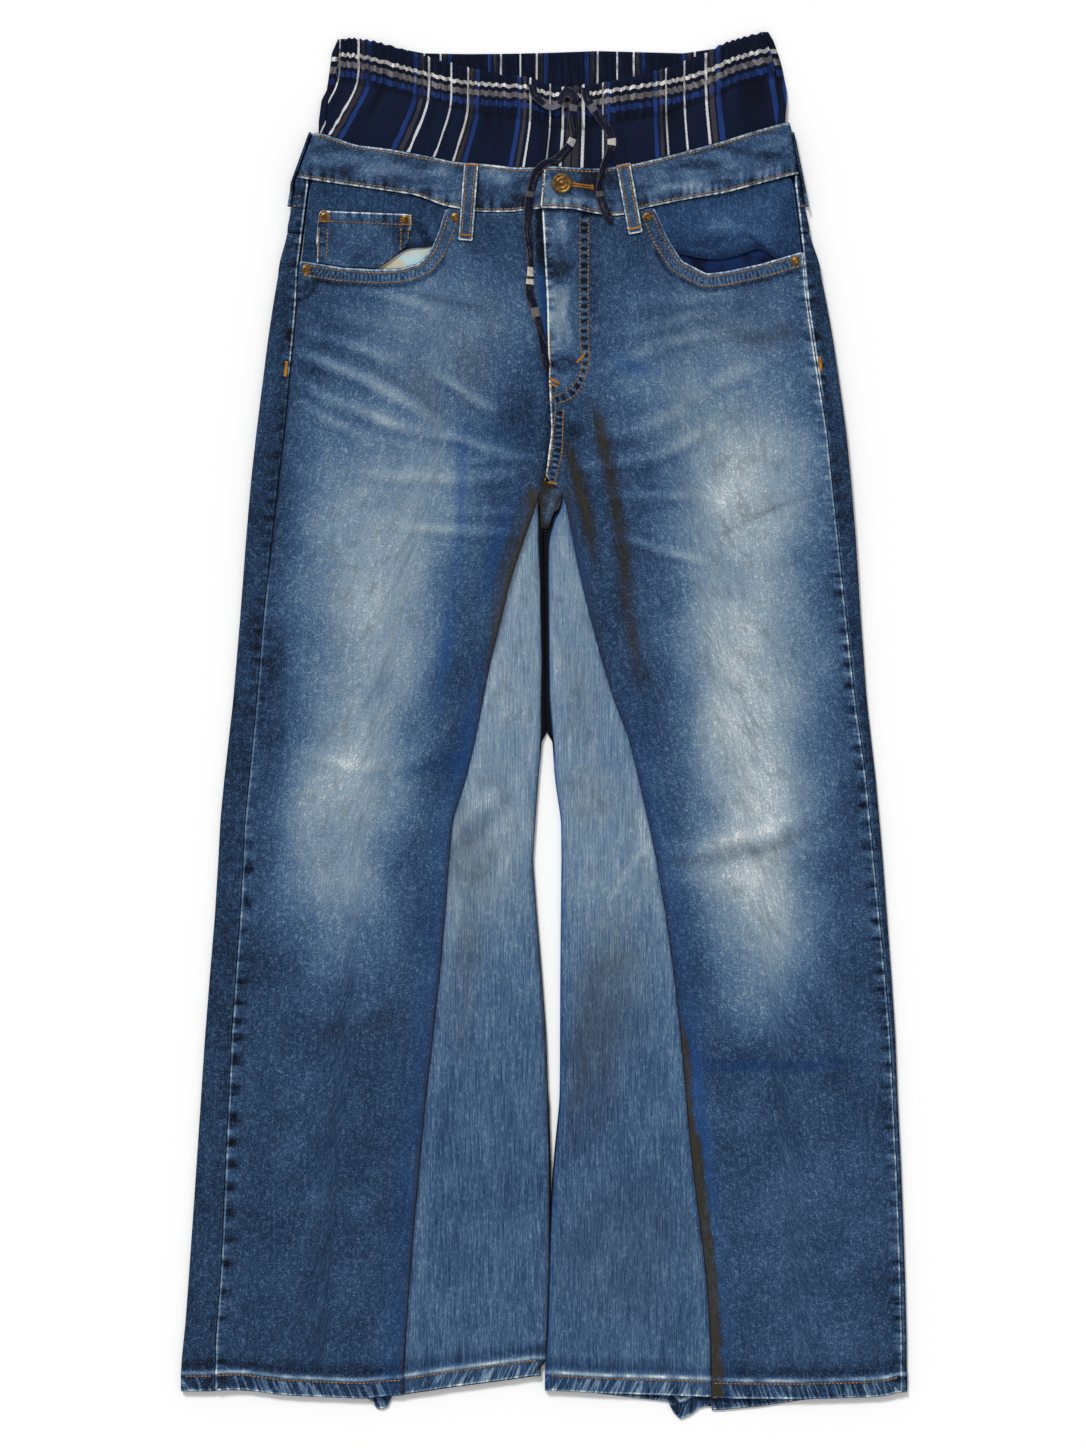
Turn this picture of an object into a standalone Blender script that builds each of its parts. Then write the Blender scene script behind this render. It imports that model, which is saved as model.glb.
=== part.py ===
"""Baggy jeans lying flat on their back, with a plaid drawstring waist sewn inside.

X runs to the right of someone who looks down at the front, Y towards the waist, Z up.
The wearer's right is at -X. Lengths in this file are millimetres; MM turns them to metres.
"""

import math
from collections import namedtuple

import bmesh
import bpy
import numpy as np
from mathutils import Vector

MM = 0.001

# Walls and clearance
DENIM = 1.2
HEM = 2.4
BAND = 2.2
PLAID = 1.0
STRAP = 1.2
BAG = 1.0
GAP = 0.3
SEAM = 0.15  # each edge stands back this far from its seam line

# Heights of the cloth's middle surface, layer upon layer from the table up
BACK_LEG = DENIM / 2
BACK_HIP = STRAP + GAP + DENIM / 2
BACK_BAND = STRAP + GAP + BAND / 2
PLAID_BACK = BACK_BAND + BAND / 2 + GAP + PLAID / 2
PLAID_FRONT = PLAID_BACK + PLAID + GAP + 0.1
FRONT_BAND = PLAID_FRONT + PLAID / 2 + GAP + BAND / 2
FRONT_HIP = FRONT_BAND
FRONT_LEG = 4.8
LAPPED_BAND = FRONT_BAND + BAND + GAP
UNDER_FRONT = FRONT_BAND - BAND / 2 - GAP - DENIM / 2
COIN_LEVEL = UNDER_FRONT + DENIM + GAP
BAG_LEVEL = UNDER_FRONT - DENIM / 2 - GAP - BAG / 2
PLAID_BACK_FREE = PLAID / 2
PLAID_FRONT_FREE = 3.0
BACK_HEM = HEM / 2
FRONT_HEM = 4.5

# Y places where a layer's height changes
HIP_ENDS, LEG_STARTS = 190.0, 0.0
SEAT_ENDS, BACK_FLAT = 215.0, 100.0
PLAID_FREE, PLAID_TUCKED = 535.0, 512.0
PLAID_LEAD = 9.0  # the upper layer climbs this much sooner

FOLDS_BELOW = (165.0, 140.0)  # the leg's folds grow between these heights
FOLDS_END = (-500.0, -530.0)

HEM_Y = -560.0  # about where the legs end
HEM_DEPTH = 17.0
HEM_TURN = 1.5  # the single cloth turns into the hem over this length
HEM_LEVELS = ((FRONT_LEG, BACK_LEG), (FRONT_HEM, BACK_HEM), (FRONT_HEM, BACK_HEM))
CENTRE_X = 0.8  # centre seams, front and back
CROTCH_Y = 207.0
FORK_Y = 199.0  # here the legs part
FORK_RIGHT, FORK_LEFT = -3.0, 15.0  # corners of the right and left leg beside the gusset
LAP_REACH = 8.0  # how far the right front runs on under the left
LAP_TURN = 4.5
LAP_EDGE = 1.4
LAP_REACH_AT_CROTCH = 3.0
ARC_TURNS = (45, 90, 135)

# Outer edge of the flat garment and the side seam, which shows on top
Side = namedtuple("Side", "y outer seam")
SIDE_RIGHT = [
    Side(463, -208.0, -196.4),
    Side(436, -212.0, -199.5),
    Side(425, -214.2, -201.0),
    Side(392, -221.0, -206.3),
    Side(358, -226.8, -207.4),
    Side(325, -231.8, -210.2),
    Side(291, -236.0, -213.6),
    Side(249, -241.3, -217.4),
    Side(207, -246.0, -222.6),
    Side(157, -250.3, -228.3),
    Side(90, -255.4, -235.5),
    Side(22, -261.2, -241.1),
    Side(-45, -268.8, -247.5),
    Side(-79, -272.0, -251.0),
    Side(-146, -275.5, -254.0),
    Side(-246, -283.9, -261.5),
    Side(-347, -290.6, -266.4),
    Side(-448, -297.4, -270.4),
    Side(-515, -302.4, -275.5),
    Side(-560, -305.0, -276.0),
]
SIDE_LEFT = [
    Side(463, 214.4, 209.2),
    Side(425, 221.0, 214.0),
    Side(392, 230.0, 217.9),
    Side(358, 236.9, 220.7),
    Side(325, 242.8, 225.5),
    Side(291, 247.8, 230.7),
    Side(249, 253.7, 237.3),
    Side(207, 257.9, 241.6),
    Side(157, 262.1, 246.9),
    Side(90, 266.3, 254.0),
    Side(22, 271.3, 261.4),
    Side(-45, 278.9, 270.8),
    Side(-112, 284.8, 277.1),
    Side(-180, 289.8, 283.8),
    Side(-246, 294.8, 290.0),
    Side(-314, 297.4, 293.5),
    Side(-381, 300.7, 296.8),
    Side(-448, 303.2, 299.3),
    Side(-515, 304.9, 301.0),
    Side(-560, 305.0, 301.1),
]

# Godets: the seam to the front or back leg, the inner fold, and how far the underside
# reaches past that fold
Godet = namedtuple("Godet", "y seam fold under")
GODET_RIGHT = [
    Godet(182, -8.1, -3.4, 0.0),
    Godet(157, -17.1, -3.4, 0.0),
    Godet(123, -28.3, -3.4, 3.2),
    Godet(90, -36.3, -2.7, 2.6),
    Godet(56, -44.9, -1.4, 1.4),
    Godet(22, -51.5, -0.6, 0.6),
    Godet(-11, -57.9, -0.8, 0.4),
    Godet(-45, -66.1, -3.9, 0.0),
    Godet(-79, -77.0, -6.2, 0.0),
    Godet(-112, -80.1, -8.4, 0.0),
    Godet(-180, -84.9, -3.4, 0.0),
    Godet(-246, -92.0, 2.5, 0.0),
    Godet(-314, -99.9, 4.8, 0.0),
    Godet(-381, -106.3, 4.8, 0.0),
    Godet(-448, -112.0, 2.8, 0.0),
    Godet(-515, -116.7, 0.6, 0.0),
    Godet(-560, -118.4, -0.4, 0.0),
]
GODET_LEFT = [
    Godet(182, 19.9, 11.0, 0.0),
    Godet(157, 24.8, 2.9, 0.0),
    Godet(123, 31.6, 3.6, 2.2),
    Godet(90, 39.8, 4.4, 3.0),
    Godet(56, 49.1, 4.9, 3.2),
    Godet(22, 59.4, 5.5, 3.4),
    Godet(-11, 72.3, 6.5, 3.0),
    Godet(-45, 80.5, 8.4, 0.0),
    Godet(-79, 88.0, 13.6, 0.0),
    Godet(-112, 95.2, 13.9, 0.0),
    Godet(-180, 106.6, 13.1, 0.0),
    Godet(-246, 114.4, 12.8, 0.0),
    Godet(-314, 120.4, 12.6, 0.0),
    Godet(-381, 126.3, 7.2, 0.0),
    Godet(-448, 136.2, 3.6, 0.0),
    Godet(-515, 140.6, 1.4, 0.0),
    Godet(-560, 141.1, 0.4, 0.0),
]

# Visible edge of the fly and the centre-front seam under it
Fly = namedtuple("Fly", "y x")
FLY = [
    Fly(436, -1.7),
    Fly(424, 1.7),
    Fly(385, 1.7),
    Fly(345, 2.5),
    Fly(306, 3.4),
    Fly(294, 4.2),
    Fly(286, 3.4),
    Fly(266, 5.9),
    Fly(236, 5.9),
    Fly(216, 2.5),
    Fly(207, CENTRE_X),
]

# Top edge of each front, from the side seam along the pocket opening to the fly
Edge = namedtuple("Edge", "x y")
TOP_RIGHT = [
    Edge(-206.0, 391.0),
    Edge(-194.9, 389.3),
    Edge(-169.7, 385.1),
    Edge(-141.1, 383.5),
    Edge(-119.3, 384.3),
    Edge(-103.3, 389.3),
    Edge(-94.1, 400.3),
    Edge(-86.5, 418.7),
    Edge(-82.0, 435.4),
    Edge(-54.6, 431.0),
    Edge(-28.6, 431.0),
    Edge(-1.7, 434.4),
]
TOP_LEFT = [
    Edge(217.3, 398.5),
    Edge(200.0, 393.6),
    Edge(183.1, 388.5),
    Edge(152.0, 381.8),
    Edge(136.1, 380.1),
    Edge(115.1, 391.0),
    Edge(102.5, 411.2),
    Edge(92.0, 436.4),
    Edge(63.0, 427.7),
    Edge(42.8, 429.4),
    Edge(24.4, 433.6),
    Edge(-1.7, 434.4),
]

# Lower edges of the facings, which hang free of the opening where the pocket gapes
FACING_RIGHT = [
    Edge(-204.0, 381.0),
    Edge(-170.0, 376.0),
    Edge(-140.0, 383.0),
    Edge(-114.0, 403.6),
    Edge(-94.0, 400.3),
    Edge(-84.0, 410.0),
    Edge(-76.0, 424.0),
]
FACING_LEFT = [
    Edge(214.0, 390.0),
    Edge(198.0, 388.0),
    Edge(181.0, 401.0),
    Edge(160.0, 393.5),
    Edge(136.0, 390.2),
    Edge(112.0, 401.9),
    Edge(100.0, 406.0),
    Edge(88.0, 424.0),
]

# Waistband: lower and upper edge on the front
WAIST_LOW = [
    Edge(-208.5, 460.0),
    Edge(-169.7, 454.9),
    Edge(-141.1, 450.7),
    Edge(-106.7, 445.6),
    Edge(-83.2, 436.4),
    Edge(-54.6, 431.3),
    Edge(-28.6, 431.3),
    Edge(-1.7, 434.7),
    Edge(24.4, 433.9),
    Edge(42.8, 429.7),
    Edge(63.0, 428.0),
    Edge(84.0, 434.7),
    Edge(121.0, 442.3),
    Edge(152.0, 447.3),
    Edge(183.0, 455.7),
    Edge(214.4, 463.0),
]
WAIST_HIGH = [
    Edge(-194.2, 499.4),
    Edge(-157.0, 487.6),
    Edge(-119.3, 483.4),
    Edge(-93.0, 477.5),
    Edge(-67.0, 471.9),
    Edge(-41.0, 472.0),
    Edge(-13.4, 467.0),
    Edge(4.2, 470.0),
    Edge(42.8, 467.5),
    Edge(74.0, 471.7),
    Edge(105.0, 475.9),
    Edge(136.0, 482.6),
    Edge(167.0, 491.8),
    Edge(190.7, 498.5),
    Edge(206.8, 501.1),
]
BACK_RISE = 9.0  # the band rises this much from the sides to the centre back
LAP_START = 0.4845  # where the lapped end begins, as a share of the way across the front
LAP_END = 0.56
LAP_RAMP = (0.595, 0.625)
BACK_SPREAD = (0.95, 0.05)  # the back band's first and last column between its folds

# Plaid waist: its top edge on the front and the back, and its side folds
PlaidTop = namedtuple("PlaidTop", "x front back")
PLAID_TOP = [
    PlaidTop(-177, 568.0, 568.0),
    PlaidTop(-168, 579.0, 577.0),
    PlaidTop(-146, 576.7, 575.0),
    PlaidTop(-100, 564.1, 566.0),
    PlaidTop(-72, 554.8, 565.5),
    PlaidTop(-11, 546.4, 566.0),
    PlaidTop(1, 538.0, 566.5),
    PlaidTop(31, 535.5, 567.5),
    PlaidTop(38, 541.4, 568.3),
    PlaidTop(72, 546.4, 567.5),
    PlaidTop(116, 557.3, 566.0),
    PlaidTop(147, 572.5, 570.0),
    PlaidTop(186, 583.4, 579.0),
    PlaidTop(195, 569.5, 569.5),
]
PlaidSide = namedtuple("PlaidSide", "y right left")
PLAID_SIDE = [
    PlaidSide(583, -174.0, 190.0),
    PlaidSide(568, -176.4, 194.9),
    PlaidSide(556, -178.9, 199.1),
    PlaidSide(535, -182.3, 204.0),
    PlaidSide(526, -188.0, 204.2),
    PlaidSide(508, -189.2, 202.6),
    PlaidSide(477, -189.6, 201.5),
]
PLAID_TUCK = 22.0  # how far the plaid runs down inside the waistband
PLAID_LAP = 6.0  # from the side fold to the plaid's side seam on top
PLAID_EDGES = (-172.0, 190.0)
PLAID_RISE = 8.0  # the under layer's tucked edge rises this much to its middle
PLAID_SHARES = (0, 0.18, 0.36, 0.54, 0.72, 0.86, 1)

# Bottom edge of the legs, upper and under layer; the under layer peeks out in places
HemLine = namedtuple("HemLine", "x front back")
HEM_LINE = [
    HemLine(-305, -558.0, -558.0),
    HemLine(-287, -558.5, -560.0),
    HemLine(-255, -556.5, -558.0),
    HemLine(-220, -561.5, -561.0),
    HemLine(-154, -564.5, -565.0),
    HemLine(-140, -563.5, -566.0),
    HemLine(-132, -562.0, -573.0),
    HemLine(-118, -560.7, -562.0),
    HemLine(-90, -556.5, -556.0),
    HemLine(-60, -551.5, -551.0),
    HemLine(-32, -549.0, -548.0),
    HemLine(-0.2, -544.0, -544.0),
    HemLine(0.2, -555.0, -555.0),
    HemLine(8, -561.5, -561.0),
    HemLine(42, -560.0, -560.0),
    HemLine(98, -561.5, -568.0),
    HemLine(117, -562.0, -583.4),
    HemLine(130, -562.3, -575.0),
    HemLine(156, -564.5, -576.0),
    HemLine(213, -565.0, -566.0),
    HemLine(284, -563.0, -563.0),
    HemLine(305, -557.0, -557.0),
]

# Rows that the leg panels share, so that their seams match
LEG_ROWS = [182, 157, 123, 90, 56, 22, -11, -45, -79, -112]
LEG_ROWS += [-160, -210, -260, -314, -365, -415, -465, -515]
HIP_ROWS = [358, 325, 291, 249, CROTCH_Y, FORK_Y]
BackRow = namedtuple("BackRow", "side centre")
YOKE_ROWS = [BackRow(470, 475), BackRow(436, 430), BackRow(414, 388)]
BACK_ROWS = [
    BackRow(413.7, 387.7),
    BackRow(392, 372),
    BackRow(358, 348),
    BackRow(325, 320),
    BackRow(291, 290),
    BackRow(249, 249),
    BackRow(CROTCH_Y, CROTCH_Y),
    BackRow(FORK_Y, FORK_Y),
]
BACK_SHARES = (0.25, 0.5, 0.75, 1)
GODET_SHARES = (0.3, 0.6, 0.83, 1)
HIP_TO_EVEN = 200.0  # over this length the columns spread out evenly below the pockets

# Largest folds of the upper layer: middle, half length, half width, turn and height
Fold = namedtuple("Fold", "x y length width turn height")
FOLDS = [
    Fold(62, 95, 62, 15, 104, 2.6),
    Fold(96, 30, 55, 17, 118, 1.8),
    Fold(178, 150, 60, 16, 22, 1.6),
    Fold(-62, 118, 50, 15, 70, 1.8),
    Fold(-140, 62, 70, 20, 96, 1.4),
    Fold(-92, -30, 34, 14, 4, 2.2),
    Fold(190, -104, 76, 18, 13, 2.2),
    Fold(196, -282, 72, 15, 0, 2.4),
    Fold(118, -400, 120, 11, 83, 2.6),
    Fold(-190, -300, 80, 20, 92, 1.2),
    Fold(-205, -470, 60, 16, 80, 1.4),
    Fold(-48, -330, 90, 12, 92, 1.6),
]

# Front belt loops: middle of the top and bottom end
Loop = namedtuple("Loop", "name top_x top_y low_x low_y")
LOOPS = [
    Loop("loop_front_right", -60.9, 472.6, -65.9, 407.4),
    Loop("loop_front_left", 66.3, 471.8, 76.9, 413.3),
]
LOOP_WIDTH = 12.6
LOOP_BOW = 1.3  # a front loop stands off the band this much
BACK_LOOP_Y = (511.0, 446.0)
SIDE_LOOP_ROWS = (498.5, 478.0, 458.0, 437.0)
SIDE_LOOP_REACH = 5.0

BUTTON = Edge(15.1, 454.9)
BUTTON_RADIUS = 8.4
SHANK_RADIUS = 2.3
HOLE_RADIUS = 3.2
SLOT_WIDTH = 2.4
SLOT_LENGTH = 23.0

Rivet = namedtuple("Rivet", "name x y radius")
RIVETS = [
    Rivet("rivet_right_inner", -74.6, 427.0, 3.9),
    Rivet("rivet_right_outer", -199.6, 383.6, 3.9),
    Rivet("rivet_coin_outer", -184.0, 428.2, 3.6),
    Rivet("rivet_coin_inner", -115.9, 425.8, 3.6),
    Rivet("rivet_left_inner", 86.6, 427.6, 3.9),
    Rivet("rivet_left_outer", 211.2, 390.4, 3.9),
]
RIVET_HEIGHT = 1.5

# Profiles of the button above its seat, and of a rivet in shares of its radius and height
Turn = namedtuple("Turn", "radius rise")
BUTTON_DOME = [
    Turn(0, 2.9),
    Turn(4.6, 2.9),
    Turn(5.3, 2.5),
    Turn(BUTTON_RADIUS - 1.2, 3.1),
    Turn(BUTTON_RADIUS, 2.2),
    Turn(BUTTON_RADIUS - 0.4, 0.3),
    Turn(SHANK_RADIUS, 0),
]
RIVET_CAP = [Turn(0, 1), Turn(0.4, 1), Turn(0.6, 0.55), Turn(1, 0.3), Turn(1, 0), Turn(0, 0)]

# Drawstring: the route of each end, seen from above
STRING = 3.0
STRING_STEP = 7.0
STRING_GAP = 0.5
TAIL_RIGHT = [
    (-10.1, 539.0), (-8.0, 530.5), (-2.0, 523.5), (6.0, 519.0), (13.0, 522.0), (16.0, 530.0),
    (21.0, 534.0), (25.6, 528.0), (24.6, 518.0), (24.0, 508.0), (25.4, 499.0), (23.0, 490.0),
    (16.5, 481.5), (9.0, 474.5), (0.0, 470.5), (-6.5, 464.0), (-9.5, 455.0), (-12.0, 445.0),
    (-13.0, 432.0), (-13.6, 418.0), (-11.8, 398.6), (-11.4, 377.6), (-12.0, 364.0),
    (-7.4, 348.0), (-3.0, 331.4), (0.0, 314.0), (2.5, 296.1),
]
TAIL_LEFT = [
    (34.4, 536.0), (35.4, 529.0), (39.8, 520.0), (47.0, 510.5), (53.4, 501.5), (56.8, 492.5),
    (56.0, 484.0), (52.4, 475.0), (48.4, 465.0), (46.6, 454.0), (47.4, 443.0), (51.4, 432.0),
    (57.0, 422.0),
]

# Colours as they look, red, green and blue out of 255
DENIM_BLUE = (52, 76, 112)
DENIM_FADED = (88, 108, 138)
DENIM_DARK = (38, 58, 88)
NAVY = (24, 32, 62)
PALE_CLOTH = (184, 182, 168)
NAVY_CLOTH = (50, 62, 82)
BRASS = (150, 110, 52)


def read(rows, column, place, along="y"):
    """One column of a table at a place along it, straight between the rows."""
    points = sorted((getattr(row, along), getattr(row, column)) for row in rows)
    return float(np.interp(place, [p[0] for p in points], [p[1] for p in points]))


def mix(a, b, share):
    return a + (b - a) * share


def ramp(value, start, end):
    """0 up to start, 1 from end on, straight between."""
    return min(max((value - start) / (end - start), 0.0), 1.0)


def fold_height(x, y):
    """How far the large folds lift the upper layer."""
    lift = 0.0
    for fold in FOLDS:
        turn = math.radians(fold.turn)
        dx, dy = x - fold.x, y - fold.y
        along = (dx * math.cos(turn) + dy * math.sin(turn)) / fold.length
        across = (dy * math.cos(turn) - dx * math.sin(turn)) / fold.width
        lift += fold.height * math.exp(-(along**2 + across**2))
    return lift * ramp(y, *FOLDS_BELOW) * (1 - ramp(y, *FOLDS_END))


def front_level(x, y):
    return mix(FRONT_HIP, FRONT_LEG, ramp(y, HIP_ENDS, LEG_STARTS)) + fold_height(x, y)


def back_level(y):
    return mix(BACK_HIP, BACK_LEG, ramp(y, SEAT_ENDS, BACK_FLAT))


def waist_y(x):
    """The front waist seam at x."""
    return read(WAIST_LOW, "y", x, "x")


def back_waist(x, high):
    """The back band's lower or upper edge at x, which rises to the centre back."""
    edge = WAIST_HIGH if high else WAIST_LOW
    share = (x - edge[0].x) / (edge[-1].x - edge[0].x)
    side = mix(edge[0].y, edge[-1].y, share)
    return side + BACK_RISE * math.sin(math.pi * share)


def look(name, rgb, roughness=0.85, metallic=0.0):
    material = bpy.data.materials.new(name)
    material.use_nodes = True
    shader = material.node_tree.nodes["Principled BSDF"]
    linear = [(c / 255) ** 2.2 for c in rgb]
    shader.inputs["Base Color"].default_value = (*linear, 1.0)
    shader.inputs["Roughness"].default_value = roughness
    shader.inputs["Metallic"].default_value = metallic
    return material


def add_object(name, data, collection):
    piece = bpy.data.objects.new(name, data)
    collection.objects.link(piece)
    return piece


def sheet(name, columns, rows, place, wall, colour, thick_rows=0):
    """A grid of cloth, placed point by point, that Solidify turns into a wall.

    place gives millimetres for a column and a row. The last thick_rows rows are a
    turned-up hem of wall HEM.
    """
    cloth = bmesh.new()
    bmesh.ops.create_grid(cloth, x_segments=columns - 1, y_segments=rows - 1, size=0.5)
    spots = []
    for vert in cloth.verts:
        column = round((vert.co.x + 0.5) * (columns - 1))
        row = round((0.5 - vert.co.y) * (rows - 1))
        spots.append(row)
        vert.co = Vector(place(column, row)) * MM
    mesh = bpy.data.meshes.new(name)
    cloth.to_mesh(mesh)
    cloth.free()
    piece = add_object(name, mesh, PARTS)
    mesh.materials.append(look(name, colour))
    solid = piece.modifiers.new("wall", "SOLIDIFY")
    solid.thickness = wall * MM
    solid.offset = 0
    solid.use_even_offset = True
    if thick_rows:
        solid.thickness = HEM * MM
        group = piece.vertex_groups.new(name="wall")
        for index, row in enumerate(spots):
            group.add([index], 1.0 if row >= rows - thick_rows else wall / HEM, "REPLACE")
        solid.vertex_group = "wall"
    return piece


def arc_point(centre, radius, level, turn, way, under=0.0):
    """A point on a side fold, turn degrees round from its top."""
    angle = math.radians(turn)
    x = centre + way * (radius * math.sin(angle) + under * (1 - math.cos(angle)) / 2)
    return x, level + radius * math.cos(angle)


def folded(seam, outer, top, low, wall, way, inner, shares, under=0.0, tops=1):
    """X and Z of a row of cloth from a seam on top, round a side fold and back under.

    way is +1 for a fold at the +X end. shares places the columns from there to inner.
    """
    radius = (top - low) / 2
    centre = outer - way * (radius + wall / 2)
    row = [(mix(seam, centre, i / tops), top) for i in range(tops)]
    turns = (0, *ARC_TURNS, 180)
    row += [arc_point(centre, radius, (top + low) / 2, t, way, under) for t in turns]
    start = row[-1][0]
    row += [(mix(start, inner, share), low) for share in shares]
    return row


def hem_rows(x, y_of):
    """Y of the three last rows of a leg at x: above the hem, its turn, and its edge."""
    edge = y_of(x)
    return [edge + HEM_DEPTH + HEM_TURN, edge + HEM_DEPTH, edge]


def hem_y(layer):
    return lambda x: read(HEM_LINE, layer, x, "x")


def leg_row_y(row, x, layer, above):
    """Y of a leg row at x; above is how many rows come before the leg's own."""
    index = row - above
    if index < len(LEG_ROWS):
        return LEG_ROWS[index]
    return hem_rows(x, hem_y(layer))[index - len(LEG_ROWS)]


def row_levels(row, above, x, y):
    """Upper and under level of a row; the hem's two last rows are thicker."""
    if row - above >= len(LEG_ROWS) + 1:
        return FRONT_HEM, BACK_HEM
    return front_level(x, y), back_level(y)


def front_inner(godet, y, is_left):
    """The front's inner edge: fly, centre seam, crotch, then the godet's seam."""
    if y >= CROTCH_Y:
        return read(FLY, "x", y)
    if y >= FORK_Y - 1:
        return FORK_LEFT if is_left else FORK_RIGHT
    return read(godet, "seam", y)


def make_front(name, side, godet, top_edge, is_left):
    """A front leg from waist seam to hem, cut away at the pocket opening."""
    way = 1 if is_left else -1
    cut = len(top_edge)
    columns = cut if is_left else cut + 2
    above = len(HIP_ROWS) + 2
    rows = above + len(LEG_ROWS) + 3
    span = top_edge[-1].x - top_edge[0].x
    shares = [(edge.x - top_edge[0].x) / span for edge in top_edge]

    def across(column, y):
        """X of a column at a height, below the pocket."""
        edge = front_inner(godet, y, is_left)
        seam = read(side, "seam", y) - way * SEAM
        last = edge + way * SEAM if is_left else edge - LAP_TURN
        even = column / (cut - 1)
        share = mix(shares[column], even, ramp(y, HIP_ROWS[0], HIP_ROWS[0] - HIP_TO_EVEN))
        return mix(seam, last, share)

    def lap(column, y):
        """The right front's two last columns, which run on under the fly."""
        edge = front_inner(godet, y, is_left)
        if y < FORK_Y + 1:
            return (edge - LAP_TURN / 2 - SEAM, edge - SEAM)[column - cut], 0.0
        drop = FRONT_HIP - UNDER_FRONT
        reach = LAP_REACH if y > CROTCH_Y else LAP_REACH_AT_CROTCH
        return (edge - LAP_EDGE, edge + reach)[column - cut], drop

    def place(column, row):
        if row < 2:
            corner = top_edge[min(column, cut - 1)]
            below = HIP_ROWS[0]
            start, drop = corner.x, 0.0
            if column == 0:
                start = read(side, "seam", corner.y) - way * SEAM
            elif column >= cut:
                start, drop = lap(column, corner.y)
            elif not is_left and column == cut - 1:
                start = corner.x - LAP_TURN
            top = min(corner.y, waist_y(start) - GAP)
            y = mix(top, below, row / 2)
            if column >= cut:
                return lap(column, y)[0], y, FRONT_HIP - drop
            return mix(start, across(column, below), row / 2), y, FRONT_HIP
        if row < above:
            y = HIP_ROWS[row - 2]
            x, drop = lap(column, y) if column >= cut else (across(column, y), 0.0)
            return x, y, FRONT_HIP - drop
        y = LEG_ROWS[min(row - above, len(LEG_ROWS) - 1)]
        if row - above >= len(LEG_ROWS):
            y = hem_y("front")(across(min(column, cut - 1), LEG_ROWS[-1]))
        x = lap(column, y)[0] if column >= cut else across(column, y)
        y = leg_row_y(row, x, "front", above)
        return x, y, row_levels(row, above, x, y)[0]

    return sheet(name, columns, rows, place, DENIM, DENIM_BLUE, thick_rows=2)


def centre_edge(godet, y, way):
    """The back's inner edge: centre-back seam, crotch, then the godet's seam."""
    if y >= CROTCH_Y - 1:
        return CENTRE_X + way * SEAM
    if y >= FORK_Y - 1:
        return (FORK_LEFT if way > 0 else FORK_RIGHT) + way * SEAM
    return read(godet, "seam", y) + way * SEAM


def back_row(side, godet, row_sides, way, wall, top, low):
    """X, Y and Z along a row of a back piece, from the side seam on top to the middle."""
    y = row_sides.side
    inner = centre_edge(godet, row_sides.centre, way)
    seam = read(side, "seam", y) + way * SEAM
    row = folded(seam, read(side, "outer", y), top, low, wall, way, inner, BACK_SHARES)
    start = row[5][0]
    points = []
    for index, (x, z) in enumerate(row):
        share = 0 if index < 6 else (x - start) / (inner - start)
        spot = mix(y, row_sides.centre, share)
        limit = waist_y(x) if index < 3 else back_waist(x, False)
        points.append((x, min(spot, limit - 2 * GAP), z))
    return points


def make_yoke(name, side, godet, way):
    grid = [
        back_row(side, godet, row, way, DENIM, FRONT_HIP, BACK_HIP) for row in YOKE_ROWS
    ]

    def place(column, row):
        return grid[row][column]

    return sheet(name, len(grid[0]), len(grid), place, DENIM, DENIM_BLUE)


def make_back(name, side, godet, way):
    """A back leg from the yoke to the hem, round the outer fold to the side seam."""
    grid = []
    for row in BACK_ROWS:
        grid.append(back_row(side, godet, row, way, DENIM, FRONT_HIP, back_level(row.centre)))
    for y in LEG_ROWS:
        top = front_level(read(side, "seam", y), y)
        grid.append(back_row(side, godet, BackRow(y, y), way, DENIM, top, back_level(y)))
    edge_y = hem_y("front")(read(side, "outer", HEM_Y))
    for index, level in enumerate(HEM_LEVELS):
        wall = DENIM if index == 0 else HEM
        row = back_row(side, godet, BackRow(edge_y, edge_y), way, wall, *level)
        points = []
        for column, (x, _, z) in enumerate(row):
            layer = "front" if column < 3 else "back"
            points.append((x, hem_rows(x, hem_y(layer))[index], z))
        grid.append(points)

    def place(column, row):
        return grid[row][column]

    return sheet(name, len(grid[0]), len(grid), place, DENIM, DENIM_BLUE, thick_rows=2)


def make_godet(name, godet, way):
    """An inner-leg panel folded round the inner edge. way is +1 where that fold is at +X."""
    grid = []

    def row_at(y, top, low, wall):
        seam = read(godet, "seam", y) + way * SEAM
        fold = read(godet, "fold", y)
        under = read(godet, "under", y)
        return folded(seam, fold, top, low, wall, way, seam, GODET_SHARES, under, tops=3)

    for y in LEG_ROWS:
        middle = (read(godet, "seam", y) + read(godet, "fold", y)) / 2
        row = row_at(y, front_level(middle, y), back_level(y), DENIM)
        grid.append([(x, y, z) for x, z in row])
    for index, level in enumerate(HEM_LEVELS):
        row = row_at(HEM_Y, *level, DENIM if index == 0 else HEM)
        points = []
        for column, (x, z) in enumerate(row):
            layer = "front" if column < 5 else "back"
            points.append((x, hem_rows(x, hem_y(layer))[index], z))
        grid.append(points)
    columns = len(grid[0])

    def place(column, row):
        return grid[row][column]

    return sheet(name, columns, len(grid), place, DENIM, DENIM_FADED, thick_rows=2)


# Half of the crotch gusset's outline, which runs down in front and up again behind
Gusset = namedtuple("Gusset", "y right left")
GUSSET = [
    Gusset(198.2, -2.4, 14.2),
    Gusset(183.2, -7.4, 19.2),
    Gusset(182.5, -2.8, 10.2),
    Gusset(166.0, -2.8, 4.6),
]
GUSSET_TIP = Gusset(160.0, -2.8, 2.2)


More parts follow.
